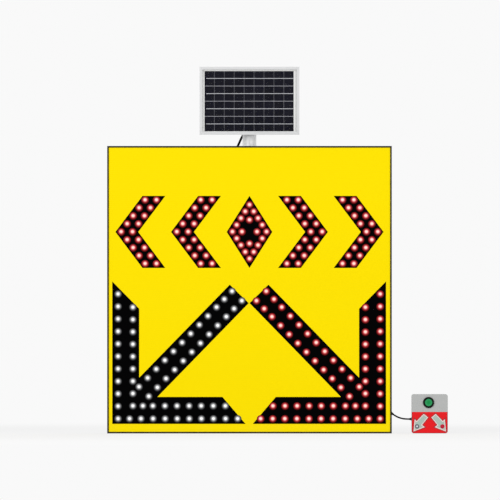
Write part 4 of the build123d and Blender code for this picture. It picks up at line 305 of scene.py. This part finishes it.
# Grey box plastic: faint handling marks, and painted shade with dirt in the groove where the cover meets
# the shell
SEAM_Y = -22 * MM
SEAM_HALF = 0.95 * MM
paint = moulded(
    "grey_plastic", (0.463, 0.473, 0.467), 0.55, 1000, 0.06 * MM, 0.035, 14, Specular_IOR_Level=0.3
)
grey = paint.mix(paint.noise(26, 7), shade(paint.color, 0.95), shade(paint.color, 1.05))
marks = paint.scuffs(240, 0.6, 0.72)
grey = paint.mix(paint.math("MULTIPLY", marks, 0.3), grey, (0.33, 0.335, 0.33, 1))
from_seam = paint.math("ABSOLUTE", paint.math("SUBTRACT", paint.axes()[1], SEAM_Y))
# Painted shade with dirt: a dark line along the groove between cover and shell
groove_shade_and_dirt = paint.ranged(from_seam, SEAM_HALF, SEAM_HALF / 4)
paint.give("Base Color", paint.mix(paint.math("MULTIPLY", groove_shade_and_dirt, 0.85), grey, (0.1, 0.1, 0.098, 1)))
finishes["grey_plastic"] = paint

# Red label: printed film with a darker line along its lower and outer edges
BOX_X = 633.5 * MM
LABEL_HALF_WIDTH = 62.9 * MM
LABEL_BOTTOM = 0.6 * MM
LABEL_LINE = 2.6 * MM
paint = moulded("red_label", (0.82, 0.012, 0.016), 0.35, 1300, 0.008 * MM, Specular_IOR_Level=0.1)
x, _, z = paint.axes()
red = paint.mix(paint.noise(22, 6), shade(paint.color, 0.92), shade(paint.color, 1.06))
from_middle = paint.math("ABSOLUTE", paint.math("SUBTRACT", x, BOX_X))
inward = paint.math("SUBTRACT", LABEL_HALF_WIDTH, from_middle)
inward = paint.math("MINIMUM", inward, paint.math("SUBTRACT", z, LABEL_BOTTOM))
line = paint.ranged(inward, LABEL_LINE, LABEL_LINE / 2)
paint.give("Base Color", paint.mix(line, red, (0.42, 0.006, 0.014, 1)))
finishes["red_label"] = paint

# Solar glass: a clear pane that takes up little light, with a faint rolled texture in its gloss
paint = Paint("solar_glass", (0.004, 0.005, 0.006), 0.1, Alpha=0.03, Specular_IOR_Level=0.1)
rolled = paint.noise(350, 2)
tint = paint.mix(paint.noise(5, 4), (0.003, 0.004, 0.005, 1), (0.005, 0.006, 0.007, 1))
paint.give("Base Color", tint)
paint.give("Roughness", paint.ranged(rolled, 0.3, 0.7, 0.08, 0.14))
finishes["panel_pane"] = paint

# Solar cells: near-black with fine silver fingers across the ribbons, each cell a little different
FIELD_X = -1.4 * MM
FIELD_Z = 1168.1 * MM
COLUMN_PITCH = 34.956 * MM
ROW_PITCH = 53.3 * MM
FINGER_PITCH = 1.9 * MM
FINGER_EDGE = 0.11 * MM
FINGER_CORE = 0.05 * MM
paint = Paint("solar_cell", (0.002, 0.002, 0.009), 0.14, Specular_IOR_Level=0.13)
x, _, z = paint.axes()
rise = paint.math("SUBTRACT", z, FIELD_Z)
across = paint.math("SUBTRACT", x, FIELD_X)
column = paint.math("ROUND", paint.math("DIVIDE", across, COLUMN_PITCH))
row = paint.math("FLOOR", paint.math("DIVIDE", rise, ROW_PITCH))
number = paint.add("ShaderNodeCombineXYZ", {0: column, 1: row}).outputs[0]
random = paint.add("ShaderNodeTexWhiteNoise", {0: number}, noise_dimensions="2D").outputs["Value"]
wafer = paint.mix(random, (0.001, 0.001, 0.006, 1), (0.004, 0.004, 0.011, 1))
finger = paint.math("ABSOLUTE", paint.math("WRAP", x, FINGER_PITCH / 2, -FINGER_PITCH / 2))
finger = paint.ranged(finger, FINGER_EDGE, FINGER_CORE)
paint.give("Base Color", paint.mix(paint.math("MULTIPLY", finger, 0.04), wafer, (0.4, 0.4, 0.43, 1)))
paint.give("Roughness", paint.ranged(paint.noise(90, 3), 0.3, 0.7, 0.11, 0.18))
finishes["solar_cell"] = paint

# Backsheet: white with a fine weave, and a dark printed field behind the cells, paler between the rows
FIELD_HALF_WIDTH = 156.3 * MM
FIELD_HALF_HEIGHT = 105.4 * MM
ROW_GAP_HALF = 1.5 * MM
BACKSHEET_MIDDLE_Y = 15.75 * MM
paint = Paint("backsheet", (0.84, 0.84, 0.83), 0.6, Specular_IOR_Level=0.3)
x, y, z = paint.axes()
rise = paint.math("SUBTRACT", z, FIELD_Z)
across = paint.math("SUBTRACT", x, FIELD_X)
wide = paint.math("LESS_THAN", paint.math("ABSOLUTE", across), FIELD_HALF_WIDTH)
high = paint.math("LESS_THAN", paint.math("ABSOLUTE", rise), FIELD_HALF_HEIGHT)
front = paint.math("LESS_THAN", y, BACKSHEET_MIDDLE_Y)
inside = paint.math("MULTIPLY", paint.math("MULTIPLY", wide, high), front)
between = paint.math("ABSOLUTE", paint.math("WRAP", rise, ROW_PITCH / 2, -ROW_PITCH / 2))
between = paint.math("LESS_THAN", between, ROW_GAP_HALF)
field = paint.mix(between, (0.18, 0.18, 0.2, 1), (0.42, 0.42, 0.46, 1))
weave = paint.noise(900, 2)
white = paint.mix(weave, (0.93, 0.93, 0.92, 1), (1.0, 1.0, 0.99, 1))
paint.give("Base Color", paint.mix(inside, white, field))
paint.bump(weave, 0.03 * MM)
finishes["white_backsheet"] = paint


def lit(name, stops, body, glow, strength=1.0, **sockets):
    """Coloured lens that shines: colour by the glow value, part of it reflected and part given off."""
    paint = Paint(name, stops[0][1], 0.18, Specular_IOR_Level=0.04, **sockets)
    value = glow(paint)
    paint.give("Base Color", paint.ramp(value, [(at, shade(color, body)) for at, color in stops]))
    paint.give("Emission Color", paint.ramp(value, stops))
    paint.give("Emission Strength", strength)
    fine = paint.noise(420, 3)
    paint.give("Roughness", paint.ranged(fine, 0.3, 0.7, 0.14, 0.24))
    paint.bump(fine, 0.01 * MM)
    return paint


def lens_glow(paint):
    """Distance from a lens's bright spot, kept on the mesh."""
    return paint.add("ShaderNodeAttribute", attribute_name="glow").outputs["Fac"]


def round_glow(middle_x, middle_z, reach):
    """Distance from a point on the front, as a share of the reach."""

    def glow(paint):
        away = paint.vector("SUBTRACT", paint.place, (middle_x, 0, middle_z))
        away = paint.vector("MULTIPLY", away, (1 / reach, 0, 1 / reach))
        return paint.length(away)

    return glow


# Colours of the light points, from the bright spot outwards; the outer stops paint a faint glow onto the
# collars round the domes
WHITE_STOPS = [
    (0.0, (1, 1, 1)),
    (0.26, (1, 1, 1)),
    (0.39, (0.555, 0.555, 0.565)),
    (0.52, (0.32, 0.32, 0.33)),
    (0.65, (0.15, 0.15, 0.155)),
    (0.78, (0.075, 0.075, 0.078)),
    (0.91, (0.028, 0.028, 0.03)),
    (1.0, (0.012, 0.012, 0.013)),
]
RED_STOPS = [
    (0.0, (1.0, 0.78, 0.68)),
    (0.25, (1.0, 0.69, 0.61)),
    (0.39, (0.9, 0.285, 0.27)),
    (0.52, (0.63, 0.102, 0.11)),
    (0.65, (0.36, 0.016, 0.022)),
    (0.78, (0.24, 0.01, 0.012)),
    (0.91, (0.13, 0.003, 0.004)),
    (1.0, (0.07, 0.002, 0.002)),
]

# Domes are glossy, and the collars round them are not
DOME_GLOSS = {"Coat_Weight": 0.6, "Coat_Roughness": 0.06}
white_dome = lit("white_dome", WHITE_STOPS, 0.2, lens_glow, 0.9, **DOME_GLOSS)
white_collar = lit("white_collar", WHITE_STOPS, 0.2, lens_glow, 0.9)
red_dome = lit("red_dome", RED_STOPS, 0.15, lens_glow, **DOME_GLOSS)
red_collar = lit("red_collar", RED_STOPS, 0.15, lens_glow)

# Indicators on the control box
INDICATOR_Z = 24.5 * MM
WHITE_INDICATOR_X = 589 * MM
RED_INDICATOR_X = 678 * MM
WHITE_SPOT_REACH = 5 * MM
RED_SPOT_REACH = 9 * MM
RED_SPOT_RISE = 1 * MM
white_spot = round_glow(WHITE_INDICATOR_X, INDICATOR_Z, WHITE_SPOT_REACH)
red_spot = round_glow(RED_INDICATOR_X, INDICATOR_Z + RED_SPOT_RISE, RED_SPOT_REACH)
WHITE_INDICATOR_STOPS = [(0.0, (0.86, 0.85, 0.86)), (1.0, (0.62, 0.62, 0.65))]
RED_INDICATOR_STOPS = [(0.0, (0.62, 0.03, 0.06)), (1.0, (0.52, 0.006, 0.03))]
finishes["white_lens"] = lit("white_indicator", WHITE_INDICATOR_STOPS, 0.8, white_spot, 0.2)
finishes["red_lens"] = lit("red_indicator", RED_INDICATOR_STOPS, 0.8, red_spot, 0.12)

# Button cap: green, with a paler ring and a dark rim
BUTTON_X = 629.5 * MM
BUTTON_Z = 108.5 * MM
BUTTON_REACH = 14 * MM
button_spot = round_glow(BUTTON_X, BUTTON_Z, BUTTON_REACH)
GREEN_STOPS = [
    (0.0, (0.005, 0.25, 0.053)),
    (0.45, (0.012, 0.28, 0.075)),
    (0.75, (0.032, 0.335, 0.12)),
    (1.0, (0.006, 0.17, 0.05)),
]
paint = Paint("green_cap", GREEN_STOPS[0][1], 0.22, Specular_IOR_Level=0.1)
paint.give("Base Color", paint.ramp(button_spot(paint), GREEN_STOPS))
fine = paint.noise(700, 2)
paint.give("Roughness", paint.ranged(fine, 0.3, 0.7, 0.18, 0.28))
paint.bump(fine, 0.008 * MM)
finishes["green_cap"] = paint

# Indicator holders: slate grey on the left and crimson on the right
holder_paint = moulded(
    "indicator_holder", (0.12, 0.13, 0.16), 0.4, 1300, 0.01 * MM, Specular_IOR_Level=0.15
)
right_side = holder_paint.math("GREATER_THAN", holder_paint.axes()[0], BOX_X)
spots = holder_paint.noise(120, 4)
slate = holder_paint.mix(spots, (0.11, 0.12, 0.15, 1), (0.13, 0.14, 0.17, 1))
crimson = holder_paint.mix(spots, (0.55, 0.012, 0.05, 1), (0.62, 0.016, 0.06, 1))
holder_paint.give("Base Color", holder_paint.mix(right_side, slate, crimson))

# Panel frame: anodised bars, with painted shade on the side and top lips where they meet the glass
PANEL_Z = 1169.5 * MM
LIP_HALF_WIDTH = 164.5 * MM
LIP_HALF_HEIGHT = 108.5 * MM
LIP_SHADE_WIDTH = 5 * MM
frame_metal = brushed("anodised_frame", (0.62, 0.625, 0.63), 0.4, (25, 900, 900), 0.006 * MM, 0.05, 0.4)
x, _, z = frame_metal.axes()
past_side = frame_metal.math("SUBTRACT", frame_metal.math("ABSOLUTE", x), LIP_HALF_WIDTH)
past_top = frame_metal.math("SUBTRACT", z, PANEL_Z + LIP_HALF_HEIGHT)
from_glass = frame_metal.math("MAXIMUM", past_side, past_top)
# Painted shade: the side and top lips darken towards the glass, and the bottom lip is kept clear of it
painted_lip_shade = frame_metal.ranged(from_glass, LIP_SHADE_WIDTH, 0.0)
above_sill = frame_metal.ranged(z, PANEL_Z - LIP_HALF_HEIGHT, PANEL_Z - LIP_HALF_HEIGHT + LIP_SHADE_WIDTH)
anodised_tone = frame_metal.mix(frame_metal.noise(30, 5), (0.6, 0.605, 0.61, 1), (0.65, 0.655, 0.66, 1))
painted_shade_share = frame_metal.math("MULTIPLY", frame_metal.math("MULTIPLY", painted_lip_shade, above_sill), 0.45)
frame_metal.give("Base Color", frame_metal.mix(painted_shade_share, anodised_tone, (0.36, 0.36, 0.355, 1)))

# Nodes with a finish of their own in place of their slot's
own_finish = {
    "post": galvanised("post_zinc", (0.93, 0.935, 0.94), 0.42, 60, Metallic=0.12),
    "panel_frame": frame_metal,
    "indicator_holders": holder_paint,
}

for row in frame["record"]["subparts"]:
    slot = nodes[row["node"]].material_slots[0]
    slot.link = "OBJECT"
    slot.material = own_finish.get(row["node"], finishes[row["material_slot"]]).material

# Edges stay sharp where their faces turn by more than this, in degrees
SHARP_ANGLE = 35
LENS_SHARP_ANGLE = 50
CAP_SHARP_ANGLE = 40


def shaded(mesh, material, angle=SHARP_ANGLE):
    """Give a mesh its material and smooth it, apart from sharp edges."""
    mesh.materials.append(material)
    mesh.polygons.foreach_set("use_smooth", [True] * len(mesh.polygons))
    mesh.set_sharp_from_angle(angle=math.radians(angle))
    mesh.update()


def turned(profile, segments):
    """Points and faces of a closed shape: (radius, y) points turned round the Y axis."""
    points = []
    rings = []
    for radius, y in profile:
        if radius == 0:
            rings.append([len(points)])
            points.append((0, y, 0))
            continue
        rings.append(list(range(len(points), len(points) + segments)))
        for step in range(segments):
            turn = 2 * math.pi * step / segments
            points.append((radius * math.cos(turn), y, radius * math.sin(turn)))
    faces = []
    for before, after in zip(rings, rings[1:]):
        for step in range(segments):
            follow = (step + 1) % segments
            corners = [before[step % len(before)], after[step % len(after)]]
            corners += [after[follow % len(after)], before[follow % len(before)]]
            faces.append(list(dict.fromkeys(corners)))
    return points, faces


def scattered(name, shape, places):
    """One mesh with a copy of the shape at each place."""
    points, faces = shape
    all_points = []
    all_faces = []
    for place in places:
        start = len(all_points)
        all_points += [Vector(point) + Vector(place) for point in points]
        all_faces += [[start + corner for corner in face] for face in faces]
    mesh = bpy.data.meshes.new(name)
    mesh.from_pydata(all_points, [], all_faces)
    mesh.validate()
    return mesh


# Light points: a dome, a thin collar that lies on the film and a body that goes through the face
LENS_APEX_Y = -42.75 * MM
APEX_DEPTH = 0.4 * MM
LENS_APART = 10 * MM
GLOW_REACH = 13.5 * MM
GLOW_RISE = 1.2 * MM
LENS_SEGMENTS = 28
DOME_RADIUS = 8.9 * MM
DOME_HEIGHT = 3.85 * MM
DOME_STEPS = 9
COLLAR_PROFILE = [
    (9.1, -38.75),
    (9.5, -38.75),
    (9.9, -38.62),
    (13.1, -38.5),
    (13.5, -38.38),
    (13.5, -38.27),
]
BODY_PROFILE = [
    (9.5, -38.27),
    (9.5, -35.0),
    (10.5, -35.0),
    (10.5, -33.5),
    (9.5, -33.5),
    (9.5, -27.0),
    (6.5, -27.0),
    (6.5, -33.0),
    (0, -33.0),
]


def lens_middles(node):
    """Places of a node's lenses, from the points nearest to the front."""
    middles = []
    for vertex in nodes[node].data.vertices:
        if vertex.co.y > LENS_APEX_Y + APEX_DEPTH:
            continue
        if all((middle[0] - vertex.co).length > LENS_APART for middle in middles):
            middles.append([vertex.co.copy(), vertex.co.copy(), vertex.co.copy()])
        for middle in middles:
            if (middle[0] - vertex.co).length < LENS_APART:
                middle[1] = Vector(map(min, middle[1], vertex.co))
                middle[2] = Vector(map(max, middle[2], vertex.co))
    return [((low.x + high.x) / 2, 0, (low.z + high.z) / 2) for _, low, high in middles]


def dome_profile():
    """Arc of the dome from its apex to its foot."""
    ball = (DOME_RADIUS ** 2 + DOME_HEIGHT ** 2) / (2 * DOME_HEIGHT)
    widest = math.asin(DOME_RADIUS / ball)
    profile = [(0, LENS_APEX_Y)]
    for step in range(1, DOME_STEPS + 1):
        turn = widest * step / DOME_STEPS
        profile.append((ball * math.sin(turn), LENS_APEX_Y + ball * (1 - math.cos(turn))))
    return profile


lens_profile = dome_profile()
lens_profile += [(radius * MM, y * MM) for radius, y in COLLAR_PROFILE + BODY_PROFILE]
lens_shape = turned(lens_profile, LENS_SEGMENTS)
lens_points, lens_faces = lens_shape
lens_glows = [math.hypot(x, z - GLOW_RISE) / GLOW_REACH for x, _, z in lens_points]
dome_faces = DOME_STEPS * LENS_SEGMENTS
lens_slots = [0] * dome_faces + [1] * (len(lens_faces) - dome_faces)


def light_points(name, node, dome, collar):
    """The lenses of one colour, in place of their solids."""
    places = lens_middles(node)
    mesh = scattered(name, lens_shape, places)
    glow = mesh.attributes.new("glow", "FLOAT", "POINT")
    glow.data.foreach_set("value", lens_glows * len(places))
    shaded(mesh, dome.material, LENS_SHARP_ANGLE)
    mesh.materials.append(collar.material)
    mesh.polygons.foreach_set("material_index", lens_slots * len(places))
    lenses = linked(name, mesh)
    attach(lenses, "case")
    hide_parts(node)


light_points("white_light_points", "white_lenses", white_dome, white_collar)
light_points("red_light_points", "red_lenses", red_dome, red_collar)

# Cables: the routes are those of the solids, in millimetres
PANEL_CABLE_ROUTE = [
    (100, 25, 1140),
    (100, 25, 1119),
    (97, 35, 1096),
    (86, 55, 1079),
    (64, 78, 1071),
    (36, 97, 1071),
    (5, 107, 1070),
    (-22, 107, 1054),
    (-40.5, 105, 1012),
    (-57, 110, 978),
    (-67, 112, 953),
    (-72, 108.5, 930),
    (-74.3, 96, 913.8),
    (-75, 76, 904),
    (-75, 58, 904),
]
CONTROL_CABLE_ROUTE = [
    (505.5, 0, 66.3),
    (515, 0, 59.8),
    (529, 0, 53.8),
    (545.5, 0, 50),
    (562, 0, 50),
]
PANEL_CABLE_DIAMETER = 8 * MM
CONTROL_CABLE_DIAMETER = 5.5 * MM
CABLE_SEGMENTS = 20
CURVE_STEPS = 16
CONTROL_CABLE_ROUNDING = 6


def metres(points):
    """Millimetre points in metres."""
    return [Vector(point) * MM for point in points]


def smooth_line(name, points):
    """Curve object of one open NURBS spline with these control points."""
    curve = bpy.data.curves.new(name, "CURVE")
    curve.dimensions = "3D"
    curve.resolution_u = CURVE_STEPS
    spline = curve.splines.new("NURBS")
    spline.points.add(len(points) - 1)
    for control, point in zip(spline.points, points):
        control.co = (*point, 1)
    spline.order_u = 3
    spline.use_endpoint_u = True
    return linked(name, curve)


def line_points(name, points):
    """Points along the smooth line with these control points."""
    line = smooth_line(name, points)
    bpy.context.view_layer.update()
    mesh = bpy.data.meshes.new_from_object(line)
    found = [vertex.co.copy() for vertex in mesh.vertices]
    bpy.data.objects.remove(line)
    bpy.data.meshes.remove(mesh)
    return found


def tube(name, path, radius, segments):
    """Closed round tube along a path, turned as little as possible from ring to ring."""
    runs = [(after - before).normalized() for before, after in zip(path, path[1:])]
    headings = [runs[0]] + [(a + b).normalized() for a, b in zip(runs, runs[1:])] + [runs[-1]]
    side = headings[0].orthogonal().normalized()
    points = []
    for place, heading in zip(path, headings):
        side = (side - heading * side.dot(heading)).normalized()
        up = heading.cross(side)
        for step in range(segments):
            turn = 2 * math.pi * step / segments
            points.append(place + radius * (side * math.cos(turn) + up * math.sin(turn)))
    faces = [list(range(segments))[::-1]]
    for ring in range(len(path) - 1):
        for step in range(segments):
            follow = (step + 1) % segments
            here = ring * segments
            there = here + segments
            faces.append([here + step, here + follow, there + follow, there + step])
    faces.append([(len(path) - 1) * segments + step for step in range(segments)])
    mesh = bpy.data.meshes.new(name)
    mesh.from_pydata(points, [], faces)
    return mesh


cable_paint = moulded(
    "cable_sheath", (0.003, 0.003, 0.0032), 0.6, 900, 0.02 * MM, 0.3, 40, Specular_IOR_Level=0.015
)
cable_skin = cable_paint.material
panel_route = metres(PANEL_CABLE_ROUTE)
panel_path = line_points("panel_lead_line", panel_route)
panel_mesh = tube("panel_lead", panel_path, PANEL_CABLE_DIAMETER / 2, CABLE_SEGMENTS)
shaded(panel_mesh, cable_skin)
panel_lead = linked("panel_lead", panel_mesh)
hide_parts("panel_cable")
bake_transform(panel_lead)

control_route = metres(CONTROL_CABLE_ROUTE)
control_lead = smooth_line("control_lead", control_route)
control_lead.data.bevel_depth = CONTROL_CABLE_DIAMETER / 2
control_lead.data.bevel_resolution = CONTROL_CABLE_ROUNDING
control_lead.data.use_fill_caps = True
control_lead.data.materials.append(cable_skin)
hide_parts("control_cable")
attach(control_lead, "case")

# Button: a dished cap and the spring behind it
CAP_SEGMENTS = 72
CAP_PROFILE = [
    (0, -33.75),
    (5.5, -33.78),
    (8.8, -33.98),
    (10.2, -34.42),
    (11.0, -34.5),
    (11.9, -34.48),
    (12.6, -34.1),
    (12.95, -33.5),
    (13.0, -32.8),
    (13.0, -22.0),
    (4.0, -22.0),
    (4.0, -8.0),
    (5.5, -8.0),
    (5.5, -5.0),
    (0, -5.0),
]
cap_mesh = scattered(
    "mode_button_cap",
    turned([(radius * MM, y * MM) for radius, y in CAP_PROFILE], CAP_SEGMENTS),
    [(BUTTON_X, 0, BUTTON_Z)],
)
shaded(cap_mesh, finishes["green_cap"].material, CAP_SHARP_ANGLE)
cap = linked("mode_button_cap", cap_mesh)
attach(cap, "mode_button")
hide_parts("button_cap")

SPRING_RADIUS = 7 * MM
SPRING_WIRE = 1 * MM
WIRE_SEGMENTS = 12
SPRING_FRONT_Y = -21.4 * MM
SPRING_BACK_Y = -10.6 * MM
SPRING_TURNS = 4
SPRING_STEPS = 36
coil = []
for step in range(SPRING_TURNS * SPRING_STEPS + 1):
    share = step / (SPRING_TURNS * SPRING_STEPS)
    turn = 2 * math.pi * SPRING_TURNS * share
    coil.append(
        Vector(
            (
                BUTTON_X + SPRING_RADIUS * math.cos(turn),
                SPRING_FRONT_Y + (SPRING_BACK_Y - SPRING_FRONT_Y) * share,
                BUTTON_Z + SPRING_RADIUS * math.sin(turn),
            )
        )
    )
spring_mesh = tube("return_spring", coil, SPRING_WIRE / 2, WIRE_SEGMENTS)
shaded(spring_mesh, finishes["zinc_steel"].material)
spring = linked("return_spring", spring_mesh)
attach(spring, "case")
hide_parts("button_spring")
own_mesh(spring)

# Label pictograms: two arrows printed in layers, with a dark outline, a pale border and a grey middle
LABEL_FRONT_Y = -28.3 * MM
LAYER_THICK = 0.06 * MM
HOLDER_RADIUS = 7.5 * MM
HOLE_STEPS = 40
BORDER_WIDTH = 2.6 * MM
PICTOGRAM = [
    (21, 68.5),
    (5.7, 56),
    (27, 29.5),
    (17, 22),
    (57, 6.7),
    (53, 50.3),
    (46, 43),
]


def widened(outline, distance):
    """Outline moved outwards by a distance, or inwards by a negative one."""
    moved = []
    for before, corner, after in zip(outline[-1:] + outline, outline, outline[1:] + outline[:1]):
        run_in = (corner - before).normalized()
        run_out = (after - corner).normalized()
        out_in = Vector((run_in.y, -run_in.x))
        out_out = Vector((run_out.y, -run_out.x))
        across = (out_in + out_out).normalized()
        moved.append(corner + across * distance / across.dot(out_in))
    return moved


def layer(name, outlines, back_y, material):
    """Thin flat print: closed sheets in the outlines, with round openings for the indicators."""
    made = bmesh.new()
    for outline, hole in outlines:
        edges = []
        for loop in (outline, hole):
            corners = [made.verts.new((point[0], back_y, point[1])) for point in loop]
            edges += [made.edges.new(pair) for pair in zip(corners, corners[1:] + corners[:1])]
        bmesh.ops.triangle_fill(made, edges=edges, use_beauty=True)
    raised = bmesh.ops.extrude_face_region(made, geom=made.faces[:])
    front = [part for part in raised["geom"] if isinstance(part, bmesh.types.BMVert)]
    bmesh.ops.translate(made, vec=(0, -LAYER_THICK, 0), verts=front)
    bmesh.ops.recalc_face_normals(made, faces=made.faces[:])
    mesh = bpy.data.meshes.new(name)
    made.to_mesh(mesh)
    made.free()
    mesh.materials.append(material)
    printed = linked(name, mesh)
    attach(printed, "case")


right_arrow = [Vector(point) * MM for point in PICTOGRAM]
indicator_away = RED_INDICATOR_X - BOX_X
opening = [
    Vector(
        (
            indicator_away + HOLDER_RADIUS * math.cos(2 * math.pi * step / HOLE_STEPS),
            INDICATOR_Z + HOLDER_RADIUS * math.sin(2 * math.pi * step / HOLE_STEPS),
        )
    )
    for step in range(HOLE_STEPS)
]
outline_ink = moulded("outline_ink", (0.27, 0.002, 0.01), 0.4, 1300, 0.006 * MM, 0.12, 30).material
border_ink = moulded("border_ink", (0.92, 0.7, 0.66), 0.4, 1300, 0.006 * MM, 0.05, 60).material
middle_ink = moulded("middle_ink", (0.4, 0.51, 0.45), 0.4, 1300, 0.006 * MM, 0.06, 60).material
LAYERS = [
    ("pictogram_outline", BORDER_WIDTH, outline_ink),
    ("pictogram_border", 0.0, border_ink),
    ("pictogram_middle", -BORDER_WIDTH, middle_ink),
]
for depth, (name, grow, ink) in enumerate(LAYERS):
    outlines = []
    for side in (1, -1):
        arrow = [(BOX_X + side * point.x, point.y) for point in widened(right_arrow, grow)]
        hole = [(BOX_X + side * point.x, point.y) for point in opening]
        outlines.append((arrow, hole))
    layer(name, outlines, LABEL_FRONT_Y - depth * LAYER_THICK, ink)

# Studio: a pale floor that fades into the background, an even sky and soft lamps
BACKGROUND = 0.947
SKY = 0.54
FLOOR_REACH = 60
FLOOR_NEAR = 1.4
FLOOR_FAR = 3.2
FLOOR_COLOR = 0.97
FLOOR_FADE = 0.74
LAMP_SIZE = 3.0


def shown_ray(tree):
    """1 where the background is seen directly, in a reflection or through glass."""
    path = tree.nodes.new("ShaderNodeLightPath")
    seen = path.outputs["Is Camera Ray"]
    for kind in ("Is Glossy Ray", "Is Transmission Ray"):
        joined = tree.nodes.new("ShaderNodeMath")
        joined.operation = "MAXIMUM"
        tree.links.new(seen, joined.inputs[0])
        tree.links.new(path.outputs[kind], joined.inputs[1])
        seen = joined.outputs[0]
    return seen


def level(tree, seen):
    """Brightness of the background to this ray."""
    chosen = tree.nodes.new("ShaderNodeMapRange")
    chosen.inputs["To Min"].default_value = SKY
    chosen.inputs["To Max"].default_value = BACKGROUND
    tree.links.new(seen, chosen.inputs["Value"])
    return chosen.outputs[0]


world = bpy.data.worlds.new("studio")
world.use_nodes = True
bpy.context.scene.world = world
sky = world.node_tree.nodes["Background"]
sky.inputs["Color"].default_value = (1, 1, 1, 1)
world.node_tree.links.new(level(world.node_tree, shown_ray(world.node_tree)), sky.inputs["Strength"])

floor_mesh = bpy.data.meshes.new("floor")
corners = [(FLOOR_REACH * x, FLOOR_REACH * y, 0) for x, y in ((-1, -1), (1, -1), (1, 1), (-1, 1))]
floor_mesh.from_pydata(corners, [], [(0, 1, 2, 3)])
floor = linked("floor", floor_mesh)
floor_paint = Paint("floor", (FLOOR_COLOR,) * 3, 0.9, Specular_IOR_Level=0.0)
floor_mesh.materials.append(floor_paint.material)
away = floor_paint.length(floor_paint.vector("MULTIPLY", floor_paint.place, (1, 1, 0)))
fade = floor_paint.ranged(away, FLOOR_NEAR, FLOOR_FAR, FLOOR_FADE)
tree = floor_paint.tree
backdrop = tree.nodes.new("ShaderNodeEmission")
tree.links.new(level(tree, shown_ray(tree)), backdrop.inputs["Strength"])
blend_in = tree.nodes.new("ShaderNodeMixShader")
tree.links.new(fade, blend_in.inputs[0])
tree.links.new(floor_paint.shader.outputs[0], blend_in.inputs[1])
tree.links.new(backdrop.outputs[0], blend_in.inputs[2])
tree.links.new(blend_in.outputs[0], tree.nodes["Material Output"].inputs["Surface"])


def lamp(name, place, aim, power):
    """Soft square lamp that points at a place."""
    data = bpy.data.lights.new(name, "AREA")
    data.size = LAMP_SIZE
    data.energy = power
    made = linked(name, data)
    made.location = place
    made.rotation_euler = (Vector(aim) - Vector(place)).to_track_quat("-Z", "Y").to_euler()


lamp("key", (-2.6, -4.6, 2.6), (0, 0, 0.5), 118)
lamp("fill", (3.2, -4.0, 1.4), (0, 0, 0.45), 62)
lamp("rear", (2.2, 4.8, 3.2), (0, 0, 0.7), 62)
